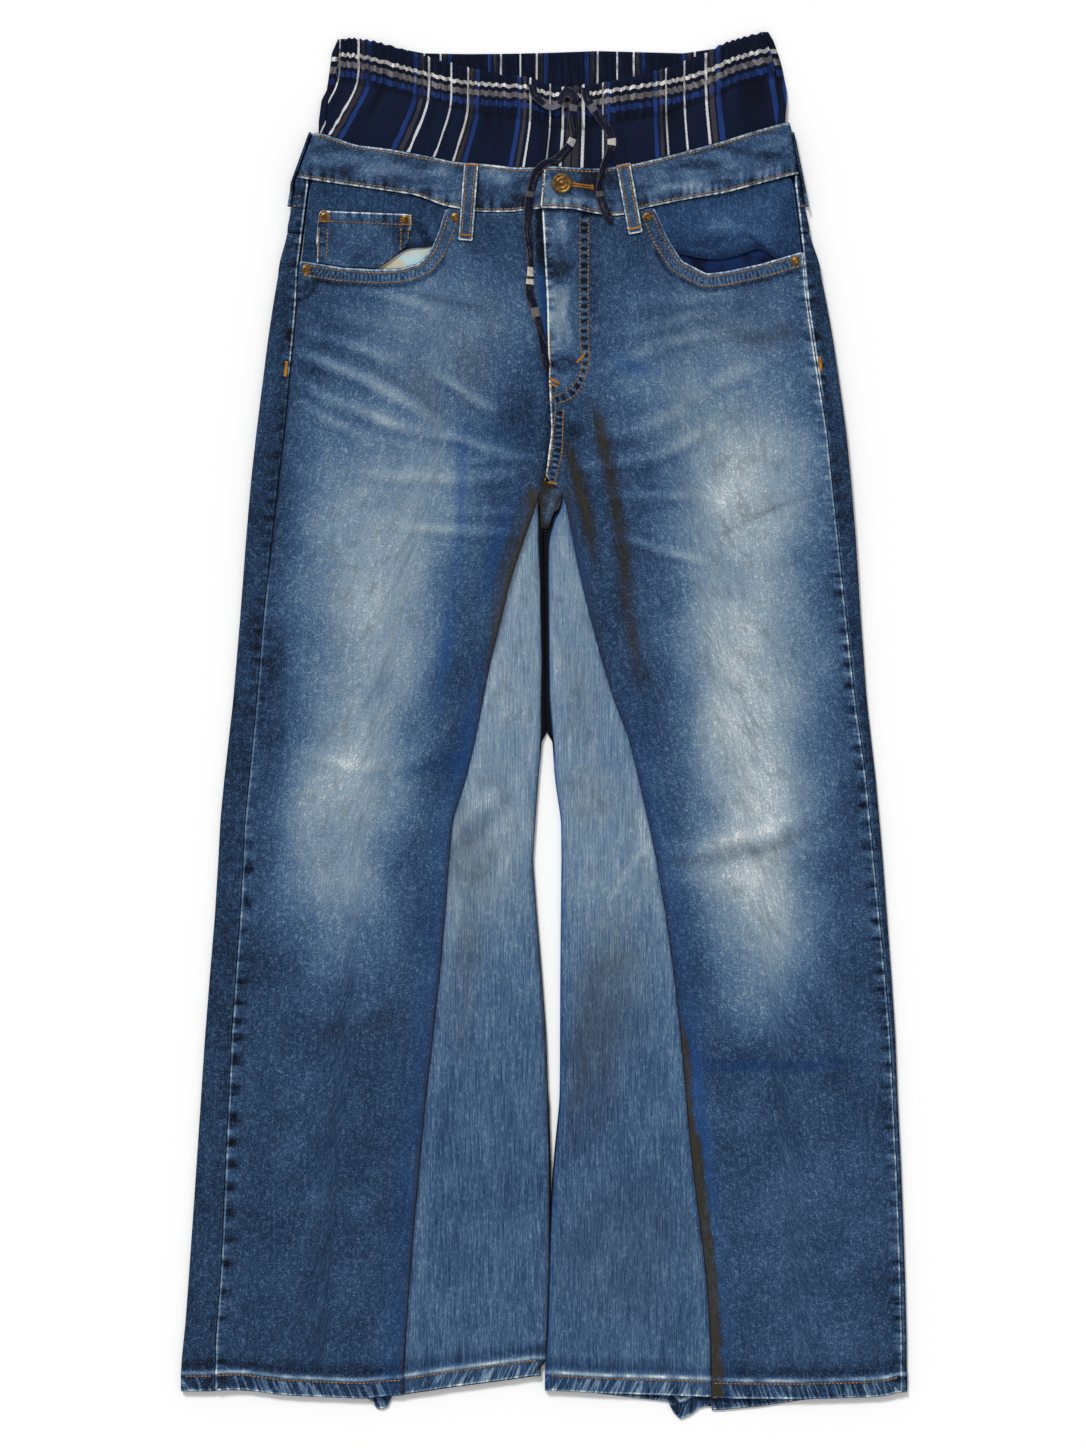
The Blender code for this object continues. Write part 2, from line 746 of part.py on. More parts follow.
def make_gusset():
    """A tongue of cloth between the legs, folded at its lower end."""
    rows = []
    for row in GUSSET:
        rows.append((row.right, row.left, row.y, front_level(0, row.y)))
    tip = GUSSET_TIP
    top, low = front_level(0, tip.y), back_level(tip.y)
    radius = (top - low) / 2
    for turn in (0, *ARC_TURNS, 180):
        angle = math.radians(turn)
        y = tip.y - radius * math.sin(angle)
        rows.append((tip.right, tip.left, y, (top + low) / 2 + radius * math.cos(angle)))
    for row in reversed(GUSSET):
        rows.append((row.right, row.left, row.y, back_level(row.y)))

    def place(column, row):
        right, left, y, z = rows[row]
        return mix(right, left, column / 2), y, z

    return sheet("crotch_gusset", 3, len(rows), place, DENIM, DENIM_FADED)


def band_point(share, high):
    """X and Y on the front band's lower or upper edge, share of the way across."""
    edge = WAIST_HIGH if high else WAIST_LOW
    x = mix(edge[0].x, edge[-1].x, share)
    return x, read(edge, "y", x, "x")


def band_columns():
    """Each column of the band: share across the front or back, layer, and fold turn."""
    width = WAIST_LOW[-1].x - WAIST_LOW[0].x
    shares = [(edge.x - WAIST_LOW[0].x) / width for edge in WAIST_LOW[1:-1]]
    lapped = np.linspace(LAP_START, LAP_RAMP[0], 6)
    front_left = [LAP_RAMP[1]] + [share for share in shares if share > LAP_RAMP[1]]
    back = np.linspace(*BACK_SPREAD, 7)
    front_right = [share for share in shares if share < LAP_START] + [LAP_START]
    columns = [("lapped", share, 0) for share in lapped]
    columns += [("front", share, 0) for share in front_left]
    turns = (0, *ARC_TURNS, 180)
    columns += [("left fold", 1, turn) for turn in turns]
    columns += [("back", share, 0) for share in back]
    columns += [("right fold", 0, turn) for turn in reversed(turns)]
    columns += [("front", share, 0) for share in front_right]
    columns += [("front", share, 0) for share in shares if LAP_START < share < LAP_END]
    columns += [("front", LAP_END, 0)]
    return columns


def make_waistband():
    """One band all round, its left end lapped over its right with a buttonhole in it."""
    columns = band_columns()
    radius = (FRONT_BAND - BACK_BAND) / 2
    middle = (FRONT_BAND + BACK_BAND) / 2

    def edge_point(kind, share, turn, high):
        if kind == "lapped":
            return *band_point(share, high), LAPPED_BAND
        if kind == "front":
            x, y = band_point(share, high)
            return x, y, FRONT_BAND
        if kind == "back":
            x = band_point(share, high)[0]
            return x, back_waist(x, high), BACK_BAND
        way = 1 if kind == "left fold" else -1
        outer, y = band_point(1 if way > 0 else 0, high)
        centre = outer - way * (radius + BAND / 2)
        x, z = arc_point(centre, radius, middle, turn, way)
        return x, y, z

    def place(column, row):
        kind, share, turn = columns[column]
        low = Vector(edge_point(kind, share, turn, False))
        high = Vector(edge_point(kind, share, turn, True))
        return high.lerp(low, row / 2)

    band = sheet("waistband", len(columns), 3, place, BAND, DENIM_BLUE)
    for cutter in (hole_cutter(), slot_cutter()):
        cut = band.modifiers.new("buttonhole", "BOOLEAN")
        cut.operation = "DIFFERENCE"
        cut.solver = "EXACT"
        cut.object = cutter
    return band


def cutter_object(name, shape, place):
    mesh = bpy.data.meshes.new(name)
    shape.to_mesh(mesh)
    shape.free()
    cutter = add_object(name, mesh, CUTTERS)
    cutter.location = Vector(place) * MM
    cutter.hide_render = True
    cutter.display_type = "WIRE"
    return cutter


def hole_cutter():
    """The eye of the keyhole, through the lapped end only."""
    shape = bmesh.new()
    low, high = LAPPED_BAND - BAND / 2 - GAP / 2, LAPPED_BAND + BAND
    bmesh.ops.create_cone(
        shape,
        cap_ends=True,
        segments=16,
        radius1=HOLE_RADIUS * MM,
        radius2=HOLE_RADIUS * MM,
        depth=(high - low) * MM,
    )
    return cutter_object("hole_cutter", shape, (BUTTON.x, BUTTON.y, (low + high) / 2))


def slot_cutter():
    """The slot of the keyhole, from its eye towards the wearer's left."""
    shape = bmesh.new()
    low, high = LAPPED_BAND - BAND / 2 - GAP / 2, LAPPED_BAND + BAND
    bmesh.ops.create_cube(shape, size=MM)
    size = Vector((SLOT_LENGTH, SLOT_WIDTH, high - low))
    bmesh.ops.scale(shape, vec=size, verts=shape.verts)
    middle = BUTTON.x + HOLE_RADIUS - 1 + SLOT_LENGTH / 2
    return cutter_object("slot_cutter", shape, (middle, BUTTON.y - 0.4, (low + high) / 2))


def make_facing(name, side, lower, way):
    """The cloth seen inside a pocket opening, from the waist seam down under its edge."""

    def place(column, row):
        edge = lower[column]
        y = mix(waist_y(edge.x), edge.y, row / 2)
        x = edge.x
        if column == 0:
            x = read(side, "seam", y) - way * 2 * GAP
        return x, y, UNDER_FRONT

    return sheet(name, len(lower), 3, place, DENIM, DENIM_DARK)


Bag = namedtuple("Bag", "y outer inner")
BAG_OUTLINE = [
    Bag(424, 200, 80),
    Bag(380, 206, 74),
    Bag(330, 206, 72),
    Bag(290, 200, 84),
    Bag(262, 180, 108),
]


def make_bag(name, way, colour):
    """A pocket bag: one plain sheet that hangs inside, under the facing."""

    def place(column, row):
        line = BAG_OUTLINE[row]
        return way * mix(line.outer, line.inner, column / 4), line.y, BAG_LEVEL

    return sheet(name, 5, len(BAG_OUTLINE), place, BAG, colour)


# Coin pocket: top edge and the part of the opening's edge that cuts it off
Coin = namedtuple("Coin", "top_x top_y low_x low_y")
COIN = [
    Coin(-189.0, 433.6, -191.5, 389.6),
    Coin(-170.0, 432.6, -170.0, 386.0),
    Coin(-141.0, 431.4, -139.5, 384.4),
    Coin(-126.0, 430.8, -127.0, 393.8),
    Coin(-110.0, 430.2, -114.2, 403.8),
]


def make_coin_pocket():
    def place(column, row):
        line = COIN[column]
        share = row / 2
        x = mix(line.top_x, line.low_x, share)
        return x, mix(line.top_y, line.low_y, share), COIN_LEVEL

    return sheet("coin_pocket", len(COIN), 3, place, DENIM, DENIM_BLUE)


# A back pocket, from its mouth to its point
Pocket = namedtuple("Pocket", "y outer inner")
POCKET = [Pocket(376, 178, 44), Pocket(270, 172, 52), Pocket(244, 114, 110)]


def make_back_pocket(name, way):
    def place(column, row):
        line = POCKET[row]
        return way * mix(line.outer, line.inner, column / 2), line.y, STRAP / 2

    return sheet(name, 3, len(POCKET), place, STRAP, DENIM_BLUE)


def make_front_loop(loop):
    """A strap over the band, from its top edge to the front below it."""
    top, low = Vector((loop.top_x, loop.top_y)), Vector((loop.low_x, loop.low_y))
    side = (low - top).orthogonal().normalized() * (LOOP_WIDTH / 2)
    on_band = FRONT_BAND + BAND / 2 + GAP + STRAP / 2
    on_front = FRONT_HIP + DENIM / 2 + GAP + STRAP / 2
    shares = (0, 0.12, 0.32, 0.52, 0.72, 0.86, 1)
    levels = [on_band + LOOP_BOW * bow for bow in (0, 0.6, 1, 0.6, 0.08)] + [on_front] * 2

    def place(column, row):
        spot = top.lerp(low, shares[row]) + side * (column - 1)
        return spot.x, spot.y, levels[row]

    return sheet(loop.name, 3, len(shares), place, STRAP, DENIM_BLUE)


def make_back_loop():
    def place(column, row):
        x = CENTRE_X + (column - 1) * LOOP_WIDTH / 2
        return x, mix(*BACK_LOOP_Y, row / 2), STRAP / 2

    return sheet("loop_back", 3, 3, place, STRAP, DENIM_BLUE)


def make_side_loop(name, way):
    """A strap over the band at its side fold, seen from above as a narrow edge."""
    middle = (FRONT_BAND + BACK_BAND) / 2
    radius = (FRONT_BAND - BACK_BAND) / 2 + BAND / 2 + GAP + STRAP / 2
    end = 0 if way < 0 else 1
    low, high = band_point(end, False), band_point(end, True)

    def place(column, row):
        y = SIDE_LOOP_ROWS[row]
        outer = way * GAP + mix(low[0], high[0], (y - low[1]) / (high[1] - low[1]))
        centre = outer - way * (radius - GAP - STRAP / 2)
        if column in (0, 6):
            z = middle + radius * (1 if column == 0 else -1)
            return centre - way * SIDE_LOOP_REACH, y, z
        x, z = arc_point(centre, radius, middle, 45 * (column - 1), way)
        return x, y, z

    return sheet(name, 7, len(SIDE_LOOP_ROWS), place, STRAP, DENIM_BLUE)


def plaid_levels(y):
    """Height of the plaid's under and upper layer: free above the band, tucked in it."""
    back = mix(PLAID_BACK_FREE, PLAID_BACK, ramp(y, PLAID_FREE, PLAID_TUCKED))
    tucked = ramp(y, PLAID_FREE + PLAID_LEAD, PLAID_TUCKED + PLAID_LEAD)
    return back, mix(PLAID_FRONT_FREE, PLAID_FRONT, tucked)


def plaid_y(x, share, layer):
    """Y of a plaid row at x, share of the way down from its top edge."""
    top = read(PLAID_TOP, layer, x, "x")
    tuck = read(WAIST_HIGH, "y", x, "x") - PLAID_TUCK
    if layer == "back":
        right, left = WAIST_HIGH[0], WAIST_HIGH[-1]
        rise = math.sin(math.pi * (x - right.x) / (left.x - right.x))
        tuck = (right.y + left.y) / 2 - PLAID_TUCK + PLAID_RISE * rise
    return mix(top, tuck, share)


def plaid_seam(share, way):
    """The plaid's side seam on top: X, Y and the side fold beyond it."""
    name = "left" if way > 0 else "right"
    y = plaid_y(PLAID_EDGES[way > 0], share, "front")
    outer = read(PLAID_SIDE, name, y)
    return outer - way * PLAID_LAP, y, outer


def make_plaid_front():
    last = 15

    def place(column, row):
        share = PLAID_SHARES[row]
        right, left = plaid_seam(share, -1), plaid_seam(share, 1)
        x = mix(right[0] + SEAM, left[0] - SEAM, column / last)
        if column in (0, last):
            y = (right, left)[column // last][1]
        else:
            y = plaid_y(x, share, "front")
        return x, y, plaid_levels(y)[1]

    return sheet("plaid_front", last + 1, len(PLAID_SHARES), place, PLAID, NAVY)


def make_plaid_back():
    """The plaid's under layer, folded up at both sides to its seams on top."""
    flats = 10

    def side_row(column, share, way):
        """One of the six columns at a side: seam, then round the fold."""
        seam, y, outer = plaid_seam(share, way)
        low, top = plaid_levels(y)
        row = folded(seam + way * SEAM, outer, top, low, PLAID, way, 0, ())
        return row[column][0], y, row[column][1]

    def place(column, row):
        share = PLAID_SHARES[row]
        if column < 6:
            return side_row(column, share, -1)
        if column >= 6 + flats - 1:
            return side_row(5 - (column - 5 - flats), share, 1)
        start = side_row(5, share, -1)
        end = side_row(5, share, 1)
        across = (column - 5) / flats
        x = mix(start[0], end[0], across)
        y = plaid_y(x, share, "back")
        return x, y, plaid_levels(y)[0]

    columns = 6 + flats - 1 + 6
    return sheet("plaid_back", columns, len(PLAID_SHARES), place, PLAID, NAVY)


def turned(name, profile, spot, steps, colour):
    """A round piece from its profile of radius and height, top to bottom."""
    mesh = bpy.data.meshes.new(name)
    line = bmesh.new()
    verts = [line.verts.new((r * MM, 0, z * MM)) for r, z in profile]
    for first, second in zip(verts, verts[1:]):
        line.edges.new((first, second))
    line.to_mesh(mesh)
    line.free()
    mesh.materials.append(look(name, colour, 0.4, 1.0))
    piece = add_object(name, mesh, PARTS)
    piece.location = Vector(spot) * MM
    screw = piece.modifiers.new("turn", "SCREW")
    screw.steps = screw.render_steps = steps
    screw.use_merge_vertices = True
    screw.merge_threshold = 0.00001
    return piece


def make_button():
    """A domed jeans button, its shank through the buttonhole."""
    foot = FRONT_BAND + BAND / 2 + GAP
    seat = LAPPED_BAND + BAND / 2 + GAP
    profile = [(turn.radius, seat + turn.rise) for turn in BUTTON_DOME]
    profile += [(SHANK_RADIUS, foot), (0, foot)]
    return turned("button", profile, (BUTTON.x, BUTTON.y, 0), 20, BRASS)


def make_rivet(rivet):
    level = COIN_LEVEL if "coin" in rivet.name else FRONT_HIP
    seat = level + DENIM / 2 + GAP
    profile = [(rivet.radius * t.radius, seat + RIVET_HEIGHT * t.rise) for t in RIVET_CAP]
    return turned(rivet.name, profile, (rivet.x, rivet.y, 0), 12, BRASS)


def cloth_top(x, y):
    """Height of the uppermost surface that the drawstring lies on."""
    band_low = read(WAIST_LOW, "y", x, "x")
    band_high = read(WAIST_HIGH, "y", x, "x")
    lapped_from = mix(WAIST_LOW[0].x, WAIST_LOW[-1].x, LAP_START)
    if y > band_high + 4:
        return plaid_levels(y)[1] + PLAID / 2
    if y > band_low - 3:
        band = LAPPED_BAND if x > lapped_from - 4 else FRONT_BAND
        return band + BAND / 2
    return FRONT_HIP + DENIM / 2


def smooth_route(points, step):
    """Points spaced by step along a smooth curve through the route's own points."""
    dense = []
    ends = [points[0], *points, points[-1]]
    for a, b, c, d in zip(ends, ends[1:], ends[2:], ends[3:]):
        for t in np.linspace(0, 1, 12, endpoint=False):
            a_, b_, c_, d_ = map(np.array, (a, b, c, d))
            bend = (2 * a_ - 5 * b_ + 4 * c_ - d_) * t + (3 * b_ - a_ - 3 * c_ + d_) * t * t
            dense.append(0.5 * (2 * b_ + (c_ - a_) * t + bend * t))
    dense.append(np.array(points[-1], float))
    dense = np.array(dense)
    run = np.concatenate([[0], np.cumsum(np.linalg.norm(np.diff(dense, axis=0), axis=1))])
    marks = np.linspace(0, run[-1], max(2, round(run[-1] / step) + 1))
    return np.column_stack([np.interp(marks, run, dense[:, k]) for k in range(dense.shape[1])])


def make_drawstring(name, route):
    """A free end of the drawstring, laid on whatever is under it."""
    fine = smooth_route(route, STRING_STEP / 3)
    heights = np.array([cloth_top(x, y) for x, y in fine])
    reach = 3
    resting = [heights[max(0, i - reach) : i + reach + 1].max() for i in range(len(heights))]
    width = 2 * reach - 1
    padded = np.pad(resting, reach - 1, mode="edge")
    z = np.convolve(padded, np.ones(width) / width, "valid") + STRING / 2 + STRING_GAP
    points = smooth_route([(x, y, h) for (x, y), h in zip(fine, z)], STRING_STEP)
    curve = bpy.data.curves.new(name, "CURVE")
    curve.dimensions = "3D"
    curve.bevel_depth = STRING / 2 * MM
    curve.bevel_resolution = 2
    curve.use_fill_caps = True
    spline = curve.splines.new("POLY")
    spline.points.add(len(points) - 1)
    for point, spot in zip(spline.points, points):
        point.co = (*(Vector(spot) * MM), 1)
    curve.materials.append(look(name, NAVY))
    return add_object(name, curve, PARTS)


def clear_scene():
    for piece in list(bpy.data.objects):
        bpy.data.objects.remove(piece, do_unlink=True)


def new_collection(name):
    collection = bpy.data.collections.new(name)
    bpy.context.scene.collection.children.link(collection)
    return collection


clear_scene()
PARTS = new_collection("baggy_jeans")
CUTTERS = new_collection("cutters")

make_front("front_right", SIDE_RIGHT, GODET_RIGHT, TOP_RIGHT, False)
make_front("front_left", SIDE_LEFT, GODET_LEFT, TOP_LEFT, True)
for wearer, side_table, godet_table, direction in (
    ("right", SIDE_RIGHT, GODET_RIGHT, -1),
    ("left", SIDE_LEFT, GODET_LEFT, 1),
):
    make_back("back_" + wearer, side_table, godet_table, direction)
    make_yoke("yoke_" + wearer, side_table, godet_table, direction)
    make_godet("godet_" + wearer, godet_table, -direction)
    make_back_pocket("back_pocket_" + wearer, direction)
    make_side_loop("loop_side_" + wearer, direction)
make_gusset()
make_waistband()
make_facing("pocket_facing_right", SIDE_RIGHT, FACING_RIGHT, -1)
make_facing("pocket_facing_left", SIDE_LEFT, FACING_LEFT, 1)
make_bag("pocket_bag_right", -1, PALE_CLOTH)
make_bag("pocket_bag_left", 1, NAVY_CLOTH)
make_coin_pocket()
for front_loop in LOOPS:
    make_front_loop(front_loop)
make_back_loop()
make_plaid_front()
make_plaid_back()
make_button()
for small_rivet in RIVETS:
    make_rivet(small_rivet)
make_drawstring("drawstring_right", TAIL_RIGHT)
make_drawstring("drawstring_left", TAIL_LEFT)
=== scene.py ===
"""The look of the baggy jeans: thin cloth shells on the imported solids, with their creases,
fades, stitches and plaid.

X runs to the right of someone who looks down at the front, Y towards the waist, Z up.
Lengths in this file are millimetres; MM turns them to metres.
"""

import math
from collections import namedtuple

import bpy
import numpy as np
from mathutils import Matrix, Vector
from mathutils.bvhtree import BVHTree


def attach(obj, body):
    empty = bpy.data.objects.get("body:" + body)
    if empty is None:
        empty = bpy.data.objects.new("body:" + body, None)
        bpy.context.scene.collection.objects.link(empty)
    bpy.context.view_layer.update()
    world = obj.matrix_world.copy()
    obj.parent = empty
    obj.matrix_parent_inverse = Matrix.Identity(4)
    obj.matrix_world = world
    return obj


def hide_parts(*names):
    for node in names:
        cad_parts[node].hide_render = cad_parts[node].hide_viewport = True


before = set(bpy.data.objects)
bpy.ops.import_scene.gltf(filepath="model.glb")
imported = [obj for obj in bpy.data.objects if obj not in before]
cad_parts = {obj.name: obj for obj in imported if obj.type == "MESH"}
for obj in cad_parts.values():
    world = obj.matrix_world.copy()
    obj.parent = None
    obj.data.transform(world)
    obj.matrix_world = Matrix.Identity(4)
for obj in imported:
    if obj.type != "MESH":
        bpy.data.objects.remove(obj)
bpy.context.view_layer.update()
MM = 0.001

# Photograph: its height in pixels, the scale, and the point of the cloth at its middle
PHOTO_HEIGHT = 1448
MM_PER_PIXEL = 0.84
PHOTO_MIDDLE = (-0.8, 2.1)
LENS = 85.0
SENSOR = 36.0

# Walls, and heights of the cloth's middle surface, as the solids have them
DENIM, BAND, PLAID, STRAP, BAG, GAP = 1.2, 2.2, 1.0, 1.2, 1.0, 0.3
BACK_LEG, BACK_HIP, BACK_BAND = 0.6, 2.1, 2.6
FRONT_LEG, FRONT_HIP, FRONT_BAND, LAPPED_BAND = 4.8, 7.8, 7.8, 10.3
UNDER_FRONT, COIN_LEVEL, BAG_LEVEL = 5.8, 7.3, 4.4
FRONT_HEM, BACK_HEM = 4.5, 1.2
HIP_ENDS, LEG_STARTS = 190.0, 0.0
SEAT_ENDS, BACK_FLAT = 215.0, 100.0
FORK_Y = 199.0
CENTRE_X = 0.8
GRID = 2.6  # spacing of the visible cloth's points
EDGE_STEPS = np.array([0, 0.7, 1.6, 2.8, 4.4])
SEAM_LOW, GODET_TOP = -545, 181  # ends of the outlines along the legs
# Heights of the last rows of points over a hem, and how many of them pass from level
# rows to the hem's line
HEM_STEPS = [
    44, 38, 33, 28.5, 25, 22, 20, 18.5, 17.3, 16.4, 15.5, 14.6, 13.6, 12.4,
    11, 9.4, 7.6, 5.8, 4, 2.4, 1.2, 0.4, 0,
]
HEM_EASE = 5
HEM_STITCH = 12.6  # height of a hem's row of stitches
HEM_WALL = 2.0  # the doubled cloth of a hem
HEM_REACH = 15.0  # reach of a hem's worn edge, by which the denim knows it
NO_EDGE = (99.0, 0, 0, 1)
BAND_HEIGHT = 37
RUFFLE = 6.1  # width of one ruffle of the casing

RIGHT, LEFT = -1, 1
SIDES = {RIGHT: "right", LEFT: "left"}


# ---------------------------------------------------------------- small helpers


def rows_of(kind, rows):
    return [kind(*row) for row in rows]


def mix(a, b, share):
    return a + (b - a) * share


def ramp(value, start, end):
    """0 up to start, 1 from end on, eased between."""
    share = np.clip((value - start) / (end - start), 0.0, 1.0)
    return share * share * (3 - 2 * share)


def bell(value, width, middle=0.0):
    """1 where the value is at the middle, dying out over the width."""
    return np.exp(-(((value - middle) / width) ** 2))


def blot(x, y, wide, tall, power=1):
    """1 in the middle of an oval spot, dying out over its size."""
    return np.exp(-(((x / wide) ** 2 + (y / tall) ** 2) ** power))


def grid(*parts):
    """One row of numbers for each point of a grid."""
    return np.stack(np.broadcast_arrays(*parts), axis=-1)


def spread(length, step, ends=EDGE_STEPS):
    """Shares from 0 to 1, step apart over length and closer at both ends."""
    count = max(2, round((length - 2 * ends[-1]) / step))
    middle = np.linspace(ends[-1], length - ends[-1], count + 1)[1:-1]
    return np.concatenate([ends, middle, length - ends[::-1]]) / length


def patches(x, y, size, seed):
    """Smooth noise from -1 to 1 with features of about the size given."""
    table = np.random.default_rng(seed).uniform(-1, 1, (64, 64))
    u, v = np.asarray(x) / size + 1000, np.asarray(y) / size + 1000
    i, j = np.floor(u).astype(int), np.floor(v).astype(int)
    a, b = u - i, v - j
    a, b = a * a * (3 - 2 * a), b * b * (3 - 2 * b)
    top = mix(table[i % 64, j % 64], table[(i + 1) % 64, j % 64], a)
    low = mix(table[i % 64, (j + 1) % 64], table[(i + 1) % 64, (j + 1) % 64], a)
    return mix(top, low, b)


def smooth(values, reach):
    """Values at equal steps, evened out over reach steps."""
    if reach <= 0:
        return values
    width = int(3 * reach)
    weights = np.exp(-0.5 * (np.arange(-width, width + 1) / reach) ** 2)
    ends = 2 * values[0] - values[width:0:-1], 2 * values[-1] - values[-2 : -width - 2 : -1]
    return np.convolve(np.concatenate([ends[0], values, ends[1]]), weights / weights.sum(), "valid")


def node_edges(node):
    """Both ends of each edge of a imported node's mesh."""
    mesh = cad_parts[node].data
    points = np.empty(len(mesh.vertices) * 3)
    mesh.vertices.foreach_get("co", points)
    pairs = np.empty(len(mesh.edges) * 2, dtype=int)
    mesh.edges.foreach_get("vertices", pairs)
    points = points.reshape(-1, 3) / MM
    return points[pairs[0::2]], points[pairs[1::2]]


def outline(node, along, side, start, end, reach=5.0, above=-1.0):
    """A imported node's outer edge as a function of Y (along 1) or of X (along 0).

    side picks the lowest (-1) or highest (+1) place across; above leaves out what is lower.
    """
    a, b = node_edges(node)
    high = (a[:, 2] > above) & (b[:, 2] > above) & (abs(a[:, along] - b[:, along]) > 1e-6)
    a, b = a[high], b[high]
    first = np.minimum(a[:, along], b[:, along])
    last = np.maximum(a[:, along], b[:, along])
    places, edge = np.arange(start, end + 0.5, 1.0), []
    for place in places:
        cut = (first <= place) & (last >= place)
        share = (place - a[cut, along]) / (b[cut, along] - a[cut, along])
        across = mix(a[cut, 1 - along], b[cut, 1 - along], share)
        edge.append(side * (side * across).max() if cut.any() else np.nan)
    edge = np.array(edge)
    known = ~np.isnan(edge)
    edge = smooth(np.interp(places, places[known], edge[known]), reach)
    return lambda at: np.interp(at, places, edge)


# ---------------------------------------------------------------- making meshes

CLOTH = {}  # each piece's tree of faces, for whatever lies on it


def new_piece(name, verts, faces, material, nodes=()):
    """A mesh piece in millimetres that rides on the one body."""
    mesh = bpy.data.meshes.new(name)
    verts = np.array(verts, dtype=float)
    verts[:, 2] = np.maximum(verts[:, 2], 0.0)  # nothing reaches into the floor
    mesh.from_pydata((verts * MM).tolist(), [], faces)
    mesh.shade_smooth()
    mesh.materials.append(material)
    piece = bpy.data.objects.new(name, mesh)
    bpy.context.scene.collection.objects.link(piece)
    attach(piece, "root")
    if nodes:
        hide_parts(*nodes)
    return piece


def store(piece, name, values, kind="FLOAT_COLOR"):
    field = "color" if kind == "FLOAT_COLOR" else "vector"
    layer = piece.data.attributes.new(name, kind, "POINT")
    layer.data.foreach_set(field, np.asarray(values, dtype=np.float32).ravel())


def store_grid(piece, name, values):
    """Numbers for each point of a shell's grid, the same on both its walls."""
    count = values.shape[-1]
    full = np.zeros((2, *values.shape[:2], 3 if count == 2 else 4))
    full[..., :count] = values
    store(piece, name, full, "FLOAT_VECTOR" if count == 2 else "FLOAT_COLOR")


def shell(name, points, wall, looks=None, edge=None, material="denim", cloth=None):
    """A closed shell of cloth about a grid of points, in place of the node of its name.

    looks holds tone, brown and blue for each point, edge holds the distance to a worn
    edge, the run along it, its strength and its reach, and cloth the place on the flat cut.
    """
    rows, columns = points.shape[:2]
    count = rows * columns
    normal = np.cross(np.gradient(points, axis=0), np.gradient(points, axis=1))
    normal /= np.maximum(np.linalg.norm(normal, axis=2, keepdims=True), 1e-9)
    half = normal * np.broadcast_to(wall, (rows, columns))[..., None] / 2
    verts = np.concatenate([(points + half).reshape(-1, 3), (points - half).reshape(-1, 3)])
    index = np.arange(count).reshape(rows, columns)
    corners = [index[:-1, :-1], index[1:, :-1], index[1:, 1:], index[:-1, 1:]]
    top = np.stack([c.ravel() for c in corners], axis=1)
    ring = np.concatenate([index[:-1, 0], index[-1, :-1], index[:0:-1, -1], index[0, :0:-1]])
    after = np.roll(ring, -1)
    rim = np.stack([after, ring, ring + count, after + count], axis=1)
    faces = np.concatenate([top, top[:, ::-1] + count, rim]).tolist()
    piece = new_piece(name + "_cloth", verts, faces, MATERIALS[material], [name])
    store_grid(piece, "looks", np.zeros((rows, columns, 3)) if looks is None else looks)
    plain = np.broadcast_to(NO_EDGE, (rows, columns, 4))
    store_grid(piece, "edge", plain if edge is None else edge)
    store_grid(piece, "cloth", flat_places(points) if cloth is None else cloth)
    CLOTH[name] = BVHTree.FromPolygons(verts.tolist(), faces)
    return piece


def flat_places(points):
    """Each point's place on the flat cloth: lengths across and down from the middle."""
    across = np.linalg.norm(np.diff(points, axis=1), axis=2)
    down = np.linalg.norm(np.diff(points, axis=0), axis=2)
    u = np.concatenate([np.zeros((len(points), 1)), np.cumsum(across, axis=1)], axis=1)
    v = np.concatenate([np.zeros((1, points.shape[1])), np.cumsum(down, axis=0)], axis=0)
    return np.stack([u - u[:, [u.shape[1] // 2]], -v], axis=2)


def looks_of(tone, brown=0.0, blue=0.0, darkest=0.0):
    """Tone, brown and blue for each point, kept within their limits."""
    return grid(np.clip(tone, darkest, 1), np.clip(brown, 0, 1), np.clip(blue, 0, 0.9))


def nearest_edge(*edges):
    """The nearest of several worn edges, each (distance, run, strength, reach)."""
    shape = np.broadcast_shapes(*(np.shape(e[0]) for e in edges))
    full = np.stack([grid(*(np.broadcast_to(part, shape) for part in e)) for e in edges])
    choice = full[..., 0].argmin(axis=0)
    return np.take_along_axis(full, choice[None, ..., None], axis=0)[0]


def on_cloth(names, x, y, side=1):
    """Where a plumb line meets the outermost of the named pieces: point and normal."""
    best = None
    for name in names:
        spot, normal, _, _ = CLOTH[name].ray_cast((x, y, side * 60), (0, 0, -side))
        if spot and (best is None or side * spot.z > side * best[0].z):
            best = spot, normal if normal.z * side > 0 else -normal
    return best


def along(points, step):
    """Points step apart on the smooth curve through a route's own points."""
    points = np.array(points, dtype=float)
    ends = np.vstack([2 * points[0] - points[1], points, 2 * points[-1] - points[-2]])
    t = np.linspace(0, 1, 12, endpoint=False)[:, None]
    dense = []
    for a, b, c, d in zip(ends, ends[1:], ends[2:], ends[3:]):
        bend = (2 * a - 5 * b + 4 * c - d) * t + (3 * b - a - 3 * c + d) * t * t
        dense.append(0.5 * (2 * b + (c - a) * t + bend * t))
    dense = np.vstack(dense + [points[-1:]])
    return even(dense, step)


def run_along(line):
    """Length of a line of points up to each of them."""
    return np.concatenate([[0], np.cumsum(np.linalg.norm(np.diff(line, axis=0), axis=1))])


def through(value, table):
    """A curve through the points of a table."""
    return np.interp(value, *zip(*table))


def even(line, step):
    """The same line with its points step apart."""
    line = np.asarray(line, dtype=float)
    run = run_along(line)
    marks = np.linspace(0, run[-1], max(2, round(run[-1] / step) + 1))
    return np.stack([np.interp(marks, run, line[:, k]) for k in range(line.shape[1])], axis=1)


